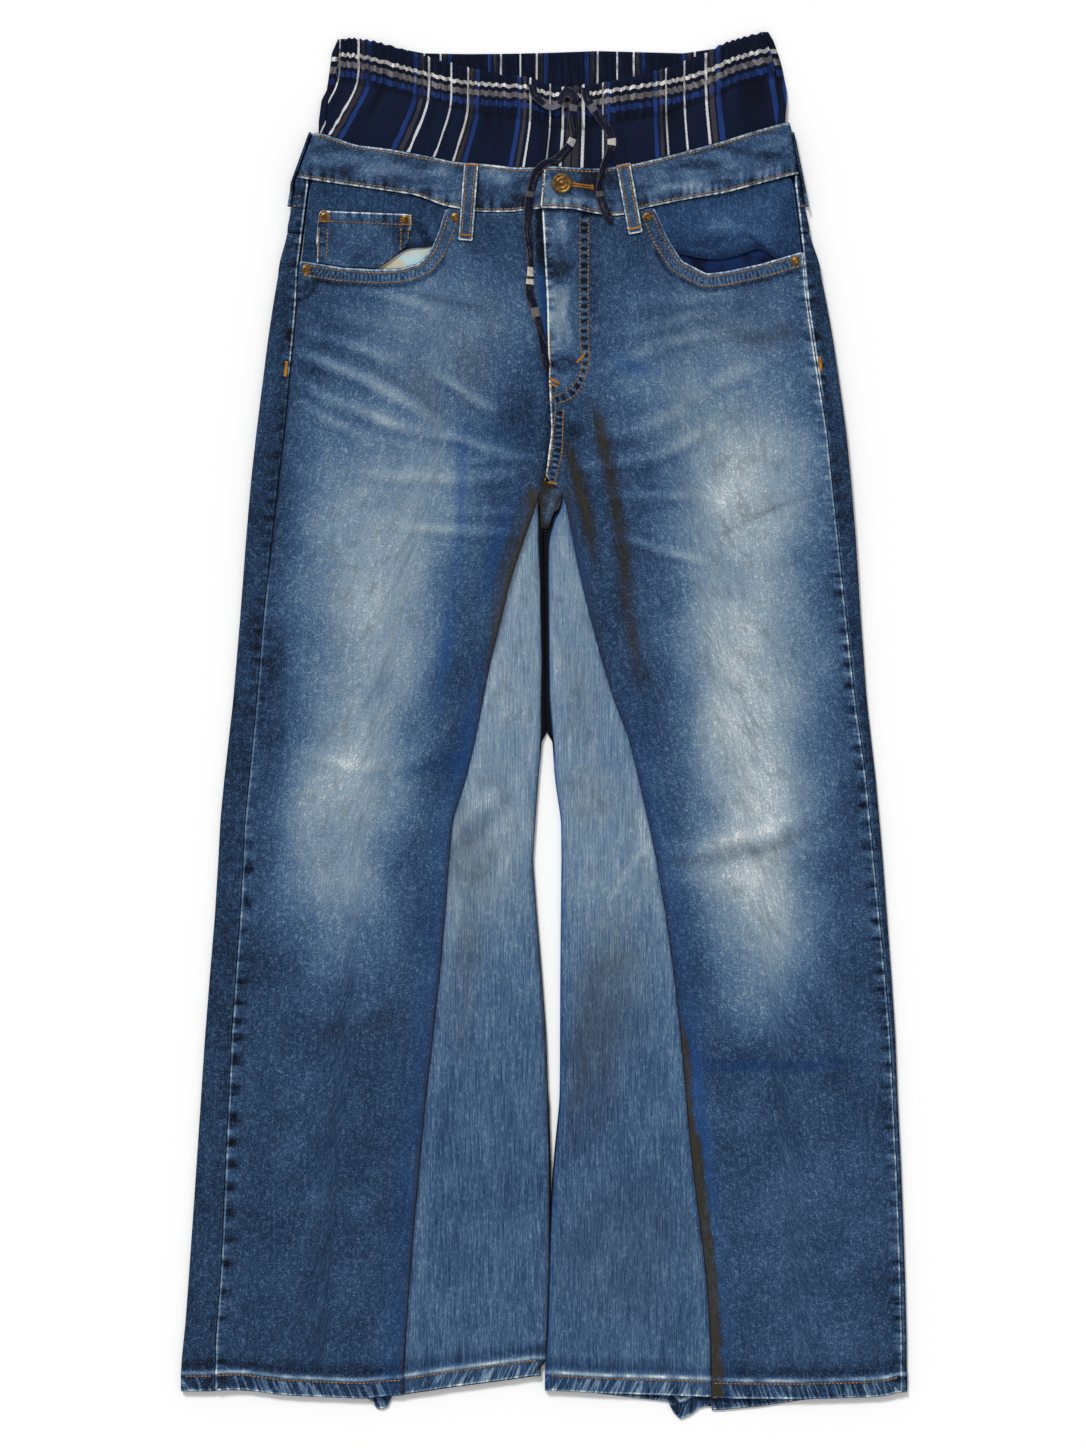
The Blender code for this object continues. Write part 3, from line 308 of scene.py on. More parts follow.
def beside(line, distance):
    """A line at a distance to the left of another, seen along it from above."""
    line = np.asarray(line, dtype=float)[:, :2]
    way = np.gradient(line, axis=0)
    way /= np.linalg.norm(way, axis=1, keepdims=True)
    return line + distance * np.stack([-way[:, 1], way[:, 0]], axis=1)


# ---------------------------------------------------------------- materials


class Value:
    """The output of a node, for sums and products with others or with numbers."""

    def __init__(self, graph, socket):
        self.graph, self.socket = graph, socket

    def __add__(self, other):
        return self.graph.math("ADD", self, other)

    def __sub__(self, other):
        return self.graph.math("SUBTRACT", self, other)

    def __mul__(self, other):
        return self.graph.math("MULTIPLY", self, other)

    def __truediv__(self, other):
        return self.graph.math("DIVIDE", self, other)

    def __abs__(self):
        return self.graph.math("ABSOLUTE", self)


class Graph:
    """A material's nodes, made and linked in one call each."""

    def __init__(self, name, rough, specular=0.1, metal=0.0):
        self.material = bpy.data.materials.new(name)
        self.material.use_nodes = True
        self.tree = self.material.node_tree
        self.shader = self.tree.nodes["Principled BSDF"].inputs
        self.shader["Roughness"].default_value = rough
        self.shader["Specular IOR Level"].default_value = specular
        self.shader["Metallic"].default_value = metal

    def add(self, kind, inputs=(), output=0, **settings):
        node = self.tree.nodes.new(kind)
        for key, value in settings.items():
            setattr(node, key, value)
        for key, value in dict(inputs).items():
            self.set(node.inputs[key], value)
        return Value(self, node.outputs[output])

    def set(self, socket, value):
        if isinstance(value, Value):
            self.tree.links.new(value.socket, socket)
        else:
            socket.default_value = value

    def math(self, operation, a, b=0.0, clamp=False):
        return self.add("ShaderNodeMath", {0: a, 1: b}, operation=operation, use_clamp=clamp)

    def parts(self, value, kind="Color"):
        """Three numbers out of a colour or a place."""
        first = self.add("ShaderNodeSeparate" + kind, {0: value})
        return [Value(self, socket) for socket in first.socket.node.outputs]

    def span(self, value, low, high, to_low=0.0, to_high=1.0):
        inputs = {"Value": value, 1: low, 2: high, 3: to_low, 4: to_high}
        return self.add("ShaderNodeMapRange", inputs, interpolation_type="SMOOTHSTEP")

    def noise(self, place, detail=2.0, rough=0.5, distortion=0.0, scale=1.0):
        inputs = {"Vector": place, "Scale": scale, "Detail": detail, "Roughness": rough}
        inputs["Distortion"] = distortion
        return self.add("ShaderNodeTexNoise", inputs)

    def wave(self, place, scale, distortion, detail=2.0):
        inputs = {"Vector": place, "Scale": scale, "Distortion": distortion, "Detail": detail}
        return self.add("ShaderNodeTexWave", inputs, "Fac", bands_direction="DIAGONAL")

    def stretch(self, place, *size):
        """A place divided by the size of a feature along each axis."""
        scale = tuple(1 / s for s in (*size, 1)[:3])
        return self.add("ShaderNodeVectorMath", {0: place, 1: scale}, operation="MULTIPLY")

    def colours(self, value, stops, kind="LINEAR"):
        ramped = self.add("ShaderNodeValToRGB", {0: value})
        ramped.socket.node.color_ramp.interpolation = kind
        line = ramped.socket.node.color_ramp.elements
        while len(line) < len(stops):
            line.new(0.5)
        for stop, (place, rgb) in zip(line, stops):
            stop.position = place
            stop.color = srgb(rgb)
        return ramped

    def blend(self, share, a, b, kind="MIX"):
        inputs = {0: share, 6: a, 7: b}
        return self.add("ShaderNodeMix", inputs, 2, data_type="RGBA", blend_type=kind)

    def field(self, name, output="Color"):
        return self.add("ShaderNodeAttribute", output=output, attribute_name=name)

    def finish(self, colour, height, strength, distance):
        """The material with its colour and its bumps."""
        self.set(self.shader["Base Color"], colour)
        inputs = {"Height": height, "Strength": strength, "Distance": distance * MM}
        self.set(self.shader["Normal"], self.add("ShaderNodeBump", inputs))
        return self.material


def srgb(rgb):
    """Linear colour from red, green and blue out of 255 as they look."""
    return (*(((c / 255 + 0.055) / 1.055) ** 2.4 if c > 10 else c / 255 / 12.92 for c in rgb), 1)


DENIM_TONES = [
    (0.0, (7, 11, 20)),
    (0.1, (18, 30, 50)),
    (0.26, (37, 61, 92)),
    (0.42, (62, 91, 125)),
    (0.6, (102, 127, 150)),
    (0.8, (146, 163, 174)),
    (1.0, (228, 232, 232)),
]
# Light that the tie adds where it turns its pale side up, by height from its low end
TURNS_FROM = TURNS_OVER = 280.0
TIE_TURNS = [
    (0.0, (0, 0, 0)), (0.226, (110, 104, 100)), (0.252, (0, 0, 0)), (0.322, (214, 204, 190)),
    (0.338, (10, 10, 14)), (0.346, (226, 216, 200)), (0.372, (0, 0, 0)),
    (0.585, (84, 80, 82)), (0.6, (0, 0, 0)), (0.742, (190, 186, 184)), (0.76, (0, 0, 0)),
    (0.84, (96, 94, 102)), (0.862, (0, 0, 0)),
]
BROWN = (66, 60, 46)
DEEP_BLUE = (26, 74, 134)
DARKEST = 0.02  # tone of the legs' deepest shade


def denim_material(name, worm=(2.3, 2.5), fleck=0.27, streak=0.04, slub=(1.3, 24.0)):
    """Worn denim: tone by point, worm-like flecks, slub streaks, twill and worn edges, with a dark
    line at each edge, partly a dark joint and partly painted shade.
    """
    g = Graph(name, 0.9, 0.15)
    cloth = g.field("cloth", "Vector")
    tone, brown, blue = g.parts(g.field("looks"))
    distance, run, strength = g.parts(g.field("edge"))
    reach = g.field("edge", "Alpha")

    # Light flecks follow the level lines of a noise, so they wind like worms
    winding = g.noise(g.stretch(cloth, *worm), 1.5, 0.55, 0.6)
    broken = g.span(g.noise(g.stretch(cloth, 4.0, 5.0)), 0.36, 0.62, 0.35, 1.0)
    flecks = g.span(abs(winding - 0.5), 0.0, 0.09, 1.0, 0.0) * broken - 0.3
    weave = g.wave(g.stretch(cloth, 1.1, 1.1), 0.32, 0.6, 1.0) - 0.5

    def noisy(size, detail, rough=0.5):
        return g.span(g.noise(g.stretch(cloth, *size), detail, rough), 0.3, 0.7, -1.0, 1.0)

    total = flecks * g.span(tone, 0.45, 0.85, fleck, 0.55 * fleck) + tone
    total += noisy(slub, 3.0, 0.6) * streak
    total += noisy((30.0, 52.0), 4.0, 0.6) * 0.04
    total += noisy((0.9, 0.9), 1.0) * 0.05
    total += weave * 0.03

    # Worn edges: roping across the run, a broken light line and a dark line right at the edge,
    # partly a dark joint and partly painted shade.
    # Ribs cross a hem's band, which has the longest reach. Where there is no edge the reach is 1
    flow = g.add("ShaderNodeCombineXYZ", {0: run, 1: distance})
    plain = g.span(reach, 1.0, 2.0)
    rope = g.span(g.noise(g.stretch(flow, 5.2, 30.0), 1.0), 0.36, 0.64, -1.0, 1.0)
    rope *= g.math("SUBTRACT", 1.0, distance / reach, clamp=True) * plain * strength
    total += rope * 0.2
    ribs = abs(g.noise(g.stretch(flow, 8.0, 60.0), 1.5) - 0.5)
    ribs = g.span(ribs, 0.0, 0.05, 1.0, 0.0) * g.span(reach, HEM_REACH - 1.5, HEM_REACH - 0.5)
    total += ribs * g.span(distance, 12.8, 11.0) * 0.34
    worn = g.span(g.noise(g.stretch(flow, 9.0, 3.0), 3.0), 0.3, 0.55, 0.6, 1.0)
    line = g.span(distance, 0.3, 0.7) * g.span(distance, 1.3, 2.0, 1.0, 0.0)
    total += line * worn * strength * plain * 0.6
    # Painted shade, with the dark joints: a dark line right at the edge
    total += g.span(distance, 0.0, 0.6, -0.45, 0.0) * plain

    # Between two close rows of stitches the cloth stands up in beads; there the reach is
    # their period, made negative
    jitter = g.noise(g.stretch(flow, 9.0, 90.0), 1.0) * 7.0
    beads = g.math("COSINE", run / reach * (2 * math.pi) + jitter) * 0.25 - 0.06
    total += g.span(reach, -1.0, -2.0) * g.span(distance, 3.4, 2.4) * strength * beads

    colour = g.colours(total, DENIM_TONES)
    warm = g.span(g.noise(g.stretch(cloth, 13.0, 19.0), 3.0), 0.5, 0.66, 0.0, 0.4)
    brown = g.math("ADD", warm * g.span(tone, 0.5, 0.75), brown, clamp=True)
    colour = g.blend(brown, colour, g.blend(0.6, colour, srgb(BROWN)))
    colour = g.blend(blue, colour, g.blend(0.62, colour, srgb(DEEP_BLUE)))
    return g.finish(colour, flecks * 0.8 + rope + weave * 0.4, 0.6, 0.4)


def plaid_material(name, across, down):
    """A woven check from one repeat across and the stripes down from the top edge.

    The cloth's X is the phase of the repeat and its Y the distance down, negative. The
    looks hold the shade in the folds and, as brown, how far the casing gathers the cloth.
    """
    g = Graph(name, 0.85)
    flat = g.field("flat", "Vector")
    phase, down_there, _ = g.parts(g.field("cloth", "Vector"), "XYZ")
    shade, gathered, _ = g.parts(g.field("looks"))
    wobble = g.noise(g.stretch(flat, 2.4, 2.4)) - 0.5
    warp = g.colours(g.math("FRACT", wobble * 0.007 + phase), across, "CONSTANT")
    down = [(place / PLAID_DEPTH, rgb) for place, rgb in down]
    weft = g.colours(wobble * 0.012 - down_there / PLAID_DEPTH, down, "CONSTANT")
    hatch = g.wave(flat, 0.2, 0.8)
    colour = g.blend(hatch * 0.22, g.blend(1.0, warp, weft, "LIGHTEN"), srgb((14, 20, 42)))
    # Fine gathers of the casing break its stripes into beads, with painted shade between them
    beads = g.span(g.noise(g.stretch(flat, 2.5, 40.0), 1.0), 0.42, 0.6, 1.0, 0.0)
    beads = beads * gathered * 0.5
    colour = g.blend(beads, colour, srgb((5, 7, 17)))
    colour = g.blend(shade, colour, srgb((4, 6, 14)))
    return g.finish(colour, hatch * 0.15 - beads, 0.7, 0.5)


def plain_material(name, rgb, second, size, rough, bump=0.3, metal=0.0):
    """A colour with a second one in patches of the size given, and a light grain."""
    g = Graph(name, rough, 0.5 if metal else 0.1, metal)
    place = g.add("ShaderNodeTexCoord", output="Object")
    noise = g.noise(place, 3.0, scale=1 / (size * MM))
    colour = g.colours(g.span(noise, 0.35, 0.65), [(0.0, rgb), (1.0, second)])
    return g.finish(colour, g.noise(place, scale=1.2 / MM), bump, 0.15)


def tie_material():
    """The check cloth as a narrow tie: navy with pale threads along it and a few pale turns."""
    g = Graph("tie", 0.75)
    cloth = g.field("cloth", "Vector")
    _, across, height = g.parts(cloth, "XYZ")
    threads = g.noise(g.stretch(cloth, 30.0, 0.42, 200.0))
    pale = g.span(abs(threads - 0.5), 0.0, 0.016, 0.5, 0.0)
    colour = g.blend(pale, srgb((12, 16, 36)), srgb((150, 146, 150)))
    edges = g.span(abs(across), 0.78, 0.94, 0.0, 0.4)
    colour = g.blend(edges, colour, srgb((104, 102, 118)))
    turn = g.colours((height - TURNS_FROM) / TURNS_OVER, TIE_TURNS, "CONSTANT")
    colour = g.blend(1.0, colour, turn, "LIGHTEN")
    grain = g.noise(g.stretch(cloth, 1.6, 0.25, 50.0), 3.0)
    colour = g.blend(g.span(grain, 0.45, 0.75, 0.0, 0.5), colour, srgb((12, 13, 24)))
    return g.finish(colour, grain + pale, 0.5, 0.3)


# ---------------------------------------------------------------- camera and cords

Point = namedtuple("Point", "x y")


def add_camera():
    data = bpy.data.cameras.new("camera")
    data.lens, data.sensor_fit, data.sensor_height = LENS, "VERTICAL", SENSOR
    camera = bpy.data.objects.new("camera", data)
    height = PHOTO_HEIGHT * MM_PER_PIXEL / SENSOR * LENS + FRONT_LEG
    camera.location = Vector((*PHOTO_MIDDLE, height)) * MM
    bpy.context.scene.collection.objects.link(camera)
    bpy.context.scene.camera = camera


# The drawstring's free ends, from the knot at the casing down over band and fly
RIBBON_WIDTH = 7.6
RIBBON_WALL = 1.3
TAIL_RIGHT = [
    (-10.1, 539.0), (-8.0, 530.5), (-2.0, 523.5), (6.0, 519.0), (13.0, 522.0), (16.0, 530.0),
    (21.0, 534.0), (25.6, 528.0), (24.6, 518.0), (24.0, 508.0), (25.4, 499.0), (23.0, 490.0),
    (16.5, 481.5), (9.0, 474.5), (0.0, 470.5), (-6.5, 464.0), (-9.5, 455.0), (-12.0, 445.0),
    (-13.0, 432.0), (-13.6, 418.0), (-11.8, 398.6), (-11.4, 377.6), (-12.0, 364.0),
    (-7.4, 348.0), (-3.0, 331.4), (0.0, 314.0), (2.5, 296.1),
]
TAIL_LEFT = [
    (34.4, 536.0), (35.4, 529.0), (39.8, 520.0), (47.0, 510.5), (53.4, 501.5), (56.8, 492.5),
    (56.0, 484.0), (52.4, 475.0), (48.4, 465.0), (46.6, 454.0), (47.4, 443.0), (51.4, 432.0),
    (57.0, 422.0),
]


# ---------------------------------------------------------------- shape of the cloth

# Largest folds, as the solids have them: middle, half length, half width, turn and height
Fold = namedtuple("Fold", "x y length width turn height")
FOLDS = rows_of(Fold, [
    (62, 95, 62, 15, 104, 2.6),
    (96, 30, 55, 17, 118, 1.8),
    (178, 150, 60, 16, 22, 1.6),
    (-62, 118, 50, 15, 70, 1.8),
    (-140, 62, 70, 20, 96, 1.4),
    (-92, -30, 34, 14, 4, 2.2),
    (190, -104, 76, 18, 13, 2.2),
    (196, -282, 72, 15, 0, 2.4),
    (118, -400, 120, 11, 83, 2.6),
    (-190, -300, 80, 20, 92, 1.2),
    (-205, -470, 60, 16, 80, 1.4),
    (-48, -330, 90, 12, 92, 1.6),
])

# Creases through three points: half width, lift of the cloth, and change of tone, brown, blue
Crease = namedtuple("Crease", "x1 y1 x2 y2 x3 y3 width lift tone brown blue", defaults=(0, 0))
CREASES = rows_of(Crease, [
    (-162, 367, -128, 362, -92, 348, 4, 0.6, 0.11),
    (-121, 364, -80, 356, -46, 346, 4, -0.6, -0.10, 0.3),
    (-207, 335, -160, 320, -118, 306, 4.5, 0.8, 0.13),
    (-92, 298, -60, 276, -38, 267, 4, 0.8, 0.16),
    (-215, 315, -160, 295, -88, 255, 5, 1.1, 0.22),
    (-210, 294, -152, 264, -84, 246, 5, 1.1, 0.19),
    (-98, 246, -62, 239, -20, 225, 4, 1.0, 0.19),
    (-215, 282, -180, 259, -146, 240, 5, 0.7, 0.10),
    (-154, 216, -84, 208, -6, 220, 5, 0.9, 0.11),
    (-128, 172, -74, 165, -16, 161, 4.5, 1.0, 0.12),
    (-90, 181, -50, 180, -14, 178, 4, 0.7, 0.09),
    (-67, 221, -34, 226, -2, 226, 3.5, 0.5, 0.10),
    (-67, 257, -36, 244, -5, 246, 7, -0.7, -0.08, 0, 0.3),
    (-158, 306, -120, 288, -88, 262, 3.5, -0.7, -0.08, 0.4),
    (-182, 345, -150, 342, -112, 330, 5, 0.5, 0.07, 0.2),
    (-70, 330, -62, 300, -66, 262, 12, -0.2, -0.02, 0.45),
    (-112, 300, -98, 280, -90, 240, 10, -0.2, -0.01, 0.5),
    (-60, 370, -44, 340, -46, 300, 10, -0.3, -0.03, 0.35),
    (48, 300, 100, 320, 172, 334, 5, 0.7, 0.11),
    (100, 266, 139, 288, 182, 306, 6, 0.9, 0.17, 0.1),
    (20, 220, 86, 226, 148, 254, 5, 1.0, 0.13),
    (52, 193, 88, 195, 130, 193, 4, 0.7, 0.13),
    (56, 161, 98, 149, 136, 138, 3.5, 0.9, 0.17),
    (60, 352, 120, 360, 180, 362, 6, 0.6, 0.09),
    (50, 330, 96, 338, 150, 350, 5, 0.6, 0.08),
    (30, 244, 80, 250, 126, 266, 5, 0.6, 0.09),
    (70, 268, 112, 276, 146, 297, 6, -0.7, -0.08, 0, 0.3),
    (142, 339, 184, 327, 214, 337, 6, -0.6, -0.09, 0.5),
    (50, 318, 78, 300, 96, 306, 7, -0.4, -0.05, 0, 0.7),
    (41, 274, 57, 204, 68, 128, 5.6, -1.6, -0.34, 1.0),
    (65, 160, 72, 90, 82, 36, 6, -1.2, -0.15, 0.7),
    (19, 240, 31, 196, 45, 132, 5.0, -1.4, -0.3, 0.9),
    (-121, -37, -87, -33, -55, -30, 6, -1.0, -0.12, 0, 0.4),
    (-215, -18, -160, -32, -100, -30, 5, 0.5, 0.06),
    (123, -282, 190, -285, 265, -280, 5, -1.0, -0.12, 0, 0.6),
    (89, -114, 165, -109, 242, -77, 5, -0.9, -0.09, 0.6),
    (92, -100, 160, -96, 225, -66, 5, 0.6, 0.07),
    (150, 160, 184, 179, 234, 197, 2.2, -0.7, -0.08, 0.7),
    (-5, 215, -33, 140, -45, 73, 4, -1.0, -0.09, 0.5),
    (-68, 262, -70, 190, -72, 120, 5, -0.3, -0.05, 0, 0.75),
    (-76, 135, -82, 70, -92, 0, 6, -0.4, -0.06, 0, 0.75),
    (-22, 196, -40, 150, -52, 100, 7, -0.4, -0.05, 0, 0.6),
    (-52, 60, -62, 0, -74, -60, 8, -0.6, -0.05, 0.1, 0.5),
    (20, 190, 32, 120, 50, 40, 4, -0.7, -0.05, 0, 0.8),
    (56, 25, 76, -50, 97, -130, 7, -0.6, -0.05, 0.1, 0.4),
    (-118, -215, -160, -240, -200, -232, 9, 0.6, 0.03),
    (-100, -235, -150, -256, -215, -256, 8, -0.6, -0.03, 0.15),
    (-135, -420, -180, -400, -230, -410, 10, 0.7, 0.03),
    (131, -322, 181, -331, 257, -314, 9, 0.6, 0.04),
    (160, -470, 210, -450, 270, -462, 10, 0.6, 0.03),
    (120, -240, 132, -330, 140, -420, 6, -0.4, -0.03, 0, 0.5),
])

# Worn bands down the legs: height, middle, half width and change of tone
Fade = namedtuple("Fade", "y x wide tone")
LEG_FADES = {
    RIGHT: rows_of(Fade, [
        (-262, -168, 44, 0.0), (-225, -168, 44, 0.06), (-179, -170, 46, 0.25),
        (-129, -172, 52, 0.43), (-78, -170, 54, 0.43), (-28, -162, 54, 0.49),
        (22, -152, 58, 0.46), (73, -149, 62, 0.44), (123, -146, 64, 0.49),
        (165, -136, 68, 0.48), (199, -130, 66, 0.40), (232, -124, 70, 0.30),
        (266, -118, 72, 0.29), (300, -104, 80, 0.25), (336, -84, 66, 0.31),
        (372, -80, 70, 0.19), (410, -70, 60, 0.04),
    ]),
    LEFT: rows_of(Fade, [
        (-272, 186, 44, 0.0), (-230, 186, 44, 0.24), (-179, 184, 46, 0.41),
        (-129, 178, 52, 0.55), (-78, 177, 56, 0.55), (-28, 174, 58, 0.52), (22, 175, 58, 0.55),
        (73, 172, 58, 0.55), (123, 164, 62, 0.51), (165, 166, 64, 0.55), (199, 168, 64, 0.53),
        (232, 166, 64, 0.50), (266, 150, 74, 0.38), (300, 144, 84, 0.31), (336, 152, 80, 0.22),
        (372, 150, 80, 0.10), (410, 150, 80, 0.06),
    ]),
}

# Worn patches, and a painted shade strip among the legs' ones: middle, half width, half height,
# change of tone, brown
Patch = namedtuple("Patch", "x y wide tall tone brown", defaults=(0,))
FADES_AND_SHADE = rows_of(Patch, [
    (-60, 215, 60, 50, 0.06),
    (-100, 320, 40, 30, 0.0, 0.14),
    (150, 330, 60, 30, 0.0, 0.2),
    (132, 250, 50, 30, 0.0, 0.14),
    (60, 330, 34, 60, 0.04),
    (12, 345, 9, 36, 0.26, 0.05),
    (24, 350, 8, 50, 0.1),
    (14, 292, 9, 12, 0.14),
    (-40, 395, 36, 30, -0.05),
    # A painted shade: the long dark strip by the wearer's right side seam
    (-230, 100, 18, 260, -0.08),
    (198, -430, 70, 150, 0.045),
    (-20, 265, 22, 50, -0.06),
])
GODET_FADES = rows_of(Patch, [
    (-30, 60, 60, 180, 0.2),
    (-50, -110, 44, 80, 0.13, 0.06),
    (50, 30, 60, 180, 0.10),
    (50, -120, 50, 80, 0.1),
    (-72, -100, 13, 40, 0.02, 0.34),
    (-54, -112, 12, 34, 0.04, 0.36),
    (-60, -180, 9, 30, 0.0, 0.36),
    (-70, -225, 12, 60, 0.0, 0.25),
    (40, -60, 22, 26, 0.03, 0.3),
    (30, 20, 9, 36, 0.03, 0.35),
    (60, -215, 26, 60, 0.0, 0.4),
    (88, -90, 9, 40, 0.1),
    (40, -270, 20, 70, -0.02, 0.35),
    (60, -440, 50, 60, -0.02, 0.25),
])
GODET_CREASES = rows_of(Crease, [
    (-30, -60, -60, -95, -84, -110, 7, -0.8, -0.05, 0.3),
    (-84, -90, -60, -70, -30, -50, 7, 0.8, 0.05),
    (52, -152, 70, -120, 92, -96, 3, -0.6, 0.08),
    (20, -230, 50, -205, 92, -190, 9, -0.8, -0.04, 0.2),
    (24, -360, 30, -300, 36, -230, 6, -0.9, -0.04, 0.2),
    (-40, -420, -44, -340, -46, -250, 8, 0.8, 0.03),
    (-80, -480, -86, -400, -76, -300, 7, -0.7, -0.04),
    (80, -480, 92, -400, 90, -300, 8, 0.7, 0.02),
    (-20, 100, -32, 60, -46, 10, 6, 0.7, 0.03),
    (18, 110, 34, 60, 44, 0, 6, 0.8, 0.04),
])


def fold_height(x, y):
    """How far the large folds lift the upper layer."""
    lift = 0.0
    for fold in FOLDS:
        turn = math.radians(fold.turn)
        dx, dy = x - fold.x, y - fold.y
        run = (dx * math.cos(turn) + dy * math.sin(turn)) / fold.length
        across = (dy * math.cos(turn) - dx * math.sin(turn)) / fold.width
        lift = lift + fold.height * blot(run, across, 1, 1)
    return lift * ramp(y, 165, 140) * ramp(y, -530, -500)


def crease_fields(x, y, creases):
    """Lift, tone, brown and blue that the creases give, each soft at its ends.

    A light crease that runs to the right has a hollow below it, with painted shade in it.
    """
    total = np.zeros((4, *x.shape))
    t = np.linspace(0, 1, 11)
    for number, c in enumerate(creases):
        mid_x, mid_y = 2 * c.x2 - (c.x1 + c.x3) / 2, 2 * c.y2 - (c.y1 + c.y3) / 2
        line_x = (1 - t) ** 2 * c.x1 + 2 * t * (1 - t) * mid_x + t * t * c.x3
        line_y = (1 - t) ** 2 * c.y1 + 2 * t * (1 - t) * mid_y + t * t * c.y3
        reach = 3.4 * c.width
        near = (x > line_x.min() - reach) & (x < line_x.max() + reach)
        near &= (y > line_y.min() - reach) & (y < line_y.max() + reach)
        if not near.any():
            continue
        px = x[near]
        py = y[near] + 0.4 * c.width * patches(x[near], y[near], 26, number)
        gap, signed, share = np.full(px.shape, 1e9), np.zeros(px.shape), np.zeros(px.shape)
        for k in range(len(t) - 1):
            dx, dy = line_x[k + 1] - line_x[k], line_y[k + 1] - line_y[k]
            size = math.hypot(dx, dy)
            u = np.clip(((px - line_x[k]) * dx + (py - line_y[k]) * dy) / size**2, 0, 1)
            far = np.hypot(px - line_x[k] - u * dx, py - line_y[k] - u * dy)
            closer = far < gap
            cross = (dx * (py - line_y[k]) - dy * (px - line_x[k])) / size
            gap, signed = np.where(closer, far, gap), np.where(closer, cross, signed)
            share = np.where(closer, (k + u) / (len(t) - 1), share)
        soft = np.clip(np.sin(math.pi * np.clip(share, 0.03, 0.97)), 0, 1) ** 0.6
        soft = soft * (0.85 + 0.3 * patches(px, py, 19, number + 50))
        weight = bell(gap, c.width) * soft
        tone = c.tone * (1.3 if c.tone > 0 else 1.0)
        for row, amount in enumerate((c.lift, tone, c.brown, c.blue)):
            total[row][near] += amount * weight
        if c.tone > 0:
            # Painted shade in the hollow below a light crease
            hollow = bell(signed, 0.9 * c.width, -1.7 * c.width) * soft
            total[1][near] -= 0.5 * c.tone * hollow
            total[0][near] -= 0.4 * c.lift * hollow
    return total


def patch_fields(x, y, patches_of):
    tone, brown = np.zeros(x.shape), np.zeros(x.shape)
    for p in patches_of:
        wave = 0.16 * patches(x, y, 45, int(abs(p.x) + abs(p.y)))
        square = ((x - p.x) / p.wide) ** 2 + ((y - p.y) / p.tall) ** 2
        weight = np.exp(-(np.maximum(square * (1 + 2 * wave), 0) ** 1.6))
        tone += p.tone * weight
        brown += p.brown * weight
    return tone, brown


def band_fade(way, x, y):
    """Tone of a leg's long worn band, soft across."""
    rows = LEG_FADES[way]
    at = [row.y for row in rows]
    parts = ("x", "wide", "tone")
    middle, wide, tone = (np.interp(y, at, [getattr(row, p) for row in rows]) for p in parts)
    drift = 9 * patches(x, y, 60, 41 + way) + 5 * patches(x, y, 24, 45 + way)
    tone = tone * np.exp(-(abs((x - middle + drift) / wide) ** 2.6))
    return tone * (1 + 0.09 * patches(x, y, 33, 43 + way))


def line_gap(x, y, line):
    """Distance to a line of points, and the run along it."""
    line = np.asarray(line, dtype=float)
    gap, run, start = np.full(x.shape, 99.0), np.zeros(x.shape), 0.0
    for a, b in zip(line, line[1:]):
        step = b - a
        size = np.linalg.norm(step)
        share = np.clip(((x - a[0]) * step[0] + (y - a[1]) * step[1]) / size**2, 0, 1)
        far = np.hypot(x - a[0] - share * step[0], y - a[1] - share * step[1])
        run = np.where(far < gap, start + share * size, run)
        gap = np.minimum(gap, far)
        start += size
    return gap, run


def slope(value, start, end):
    """0 up to start, 1 from end on, straight between."""
    return np.clip((value - start) / (end - start), 0, 1)


def front_level(x, y):
    return mix(FRONT_HIP, FRONT_LEG, slope(y, HIP_ENDS, LEG_STARTS)) + fold_height(x, y)


def back_level(y):
    return mix(BACK_HIP, BACK_LEG, slope(y, SEAT_ENDS, BACK_FLAT))


def pucker(run, distance, period, reach, seed):
    """Roping beside a seam: 1 in the hollows, fading over reach."""
    phase = run / period + 0.5 * patches(run, 0, 2.7 * period, seed)
    hollow = (0.5 + 0.5 * np.cos(2 * math.pi * phase)) ** 2
    size = 0.75 + 0.5 * patches(run, 0, 1.9 * period, seed + 1)
    return hollow * np.clip(size, 0, 1) * bell(distance, reach)


def leg_rows(y_from, hem, step):
    """Y of the rows from y_from down to a hem line, with rows close together at the hem."""
    body = np.arange(y_from, -505, -step)
    rows = [np.broadcast_to(y, hem.shape) for y in body]
    for count, gap in enumerate(HEM_STEPS, 1):
        share = min(1.0, count / HEM_EASE)
        rows.append(mix(body[-1] - count * step, hem + gap, share) if share < 1 else hem + gap)
    return np.array(rows)


def hem_wall(distance):
    return mix(DENIM, HEM_WALL, ramp(distance, 20, 16))


def hem_looks(distance, run, seed):
    """Tone and lift near a hem: a hollow above it with painted shade, a worn ridge and a puckered
    band.
    """
    wave = patches(run, 0, 9, seed)
    ridge = bell(distance, 1.5, 15.4) * (0.46 + 0.2 * wave)
    foot = bell(distance, 1.8) * (0.08 + 0.16 * patches(run, 0, 14, seed + 1))
    above = bell(distance, 4.0, 22)
    # The hollow above the hem is painted darker: painted shade
    tone = ridge + foot - 0.13 * above
    stitch = bell(distance, 1.1, HEM_STITCH)
    band = ramp(distance, 18.5, 15.5)
    tone = tone - 0.06 * band
    waves = band * (0.32 * patches(run + 0.5 * distance, 0, 6.5, seed + 2))
    return tone - 0.1 * stitch, 0.55 * band - 0.35 * stitch - 0.5 * above + waves


# ---------------------------------------------------------------- outlines from the frame


def joined(low, high, start, end, shift=0.0):
    """One curve up to start and another, shifted, from end on, eased between."""
    return lambda y: mix(low(y), high(y) + shift, ramp(y, start, end))


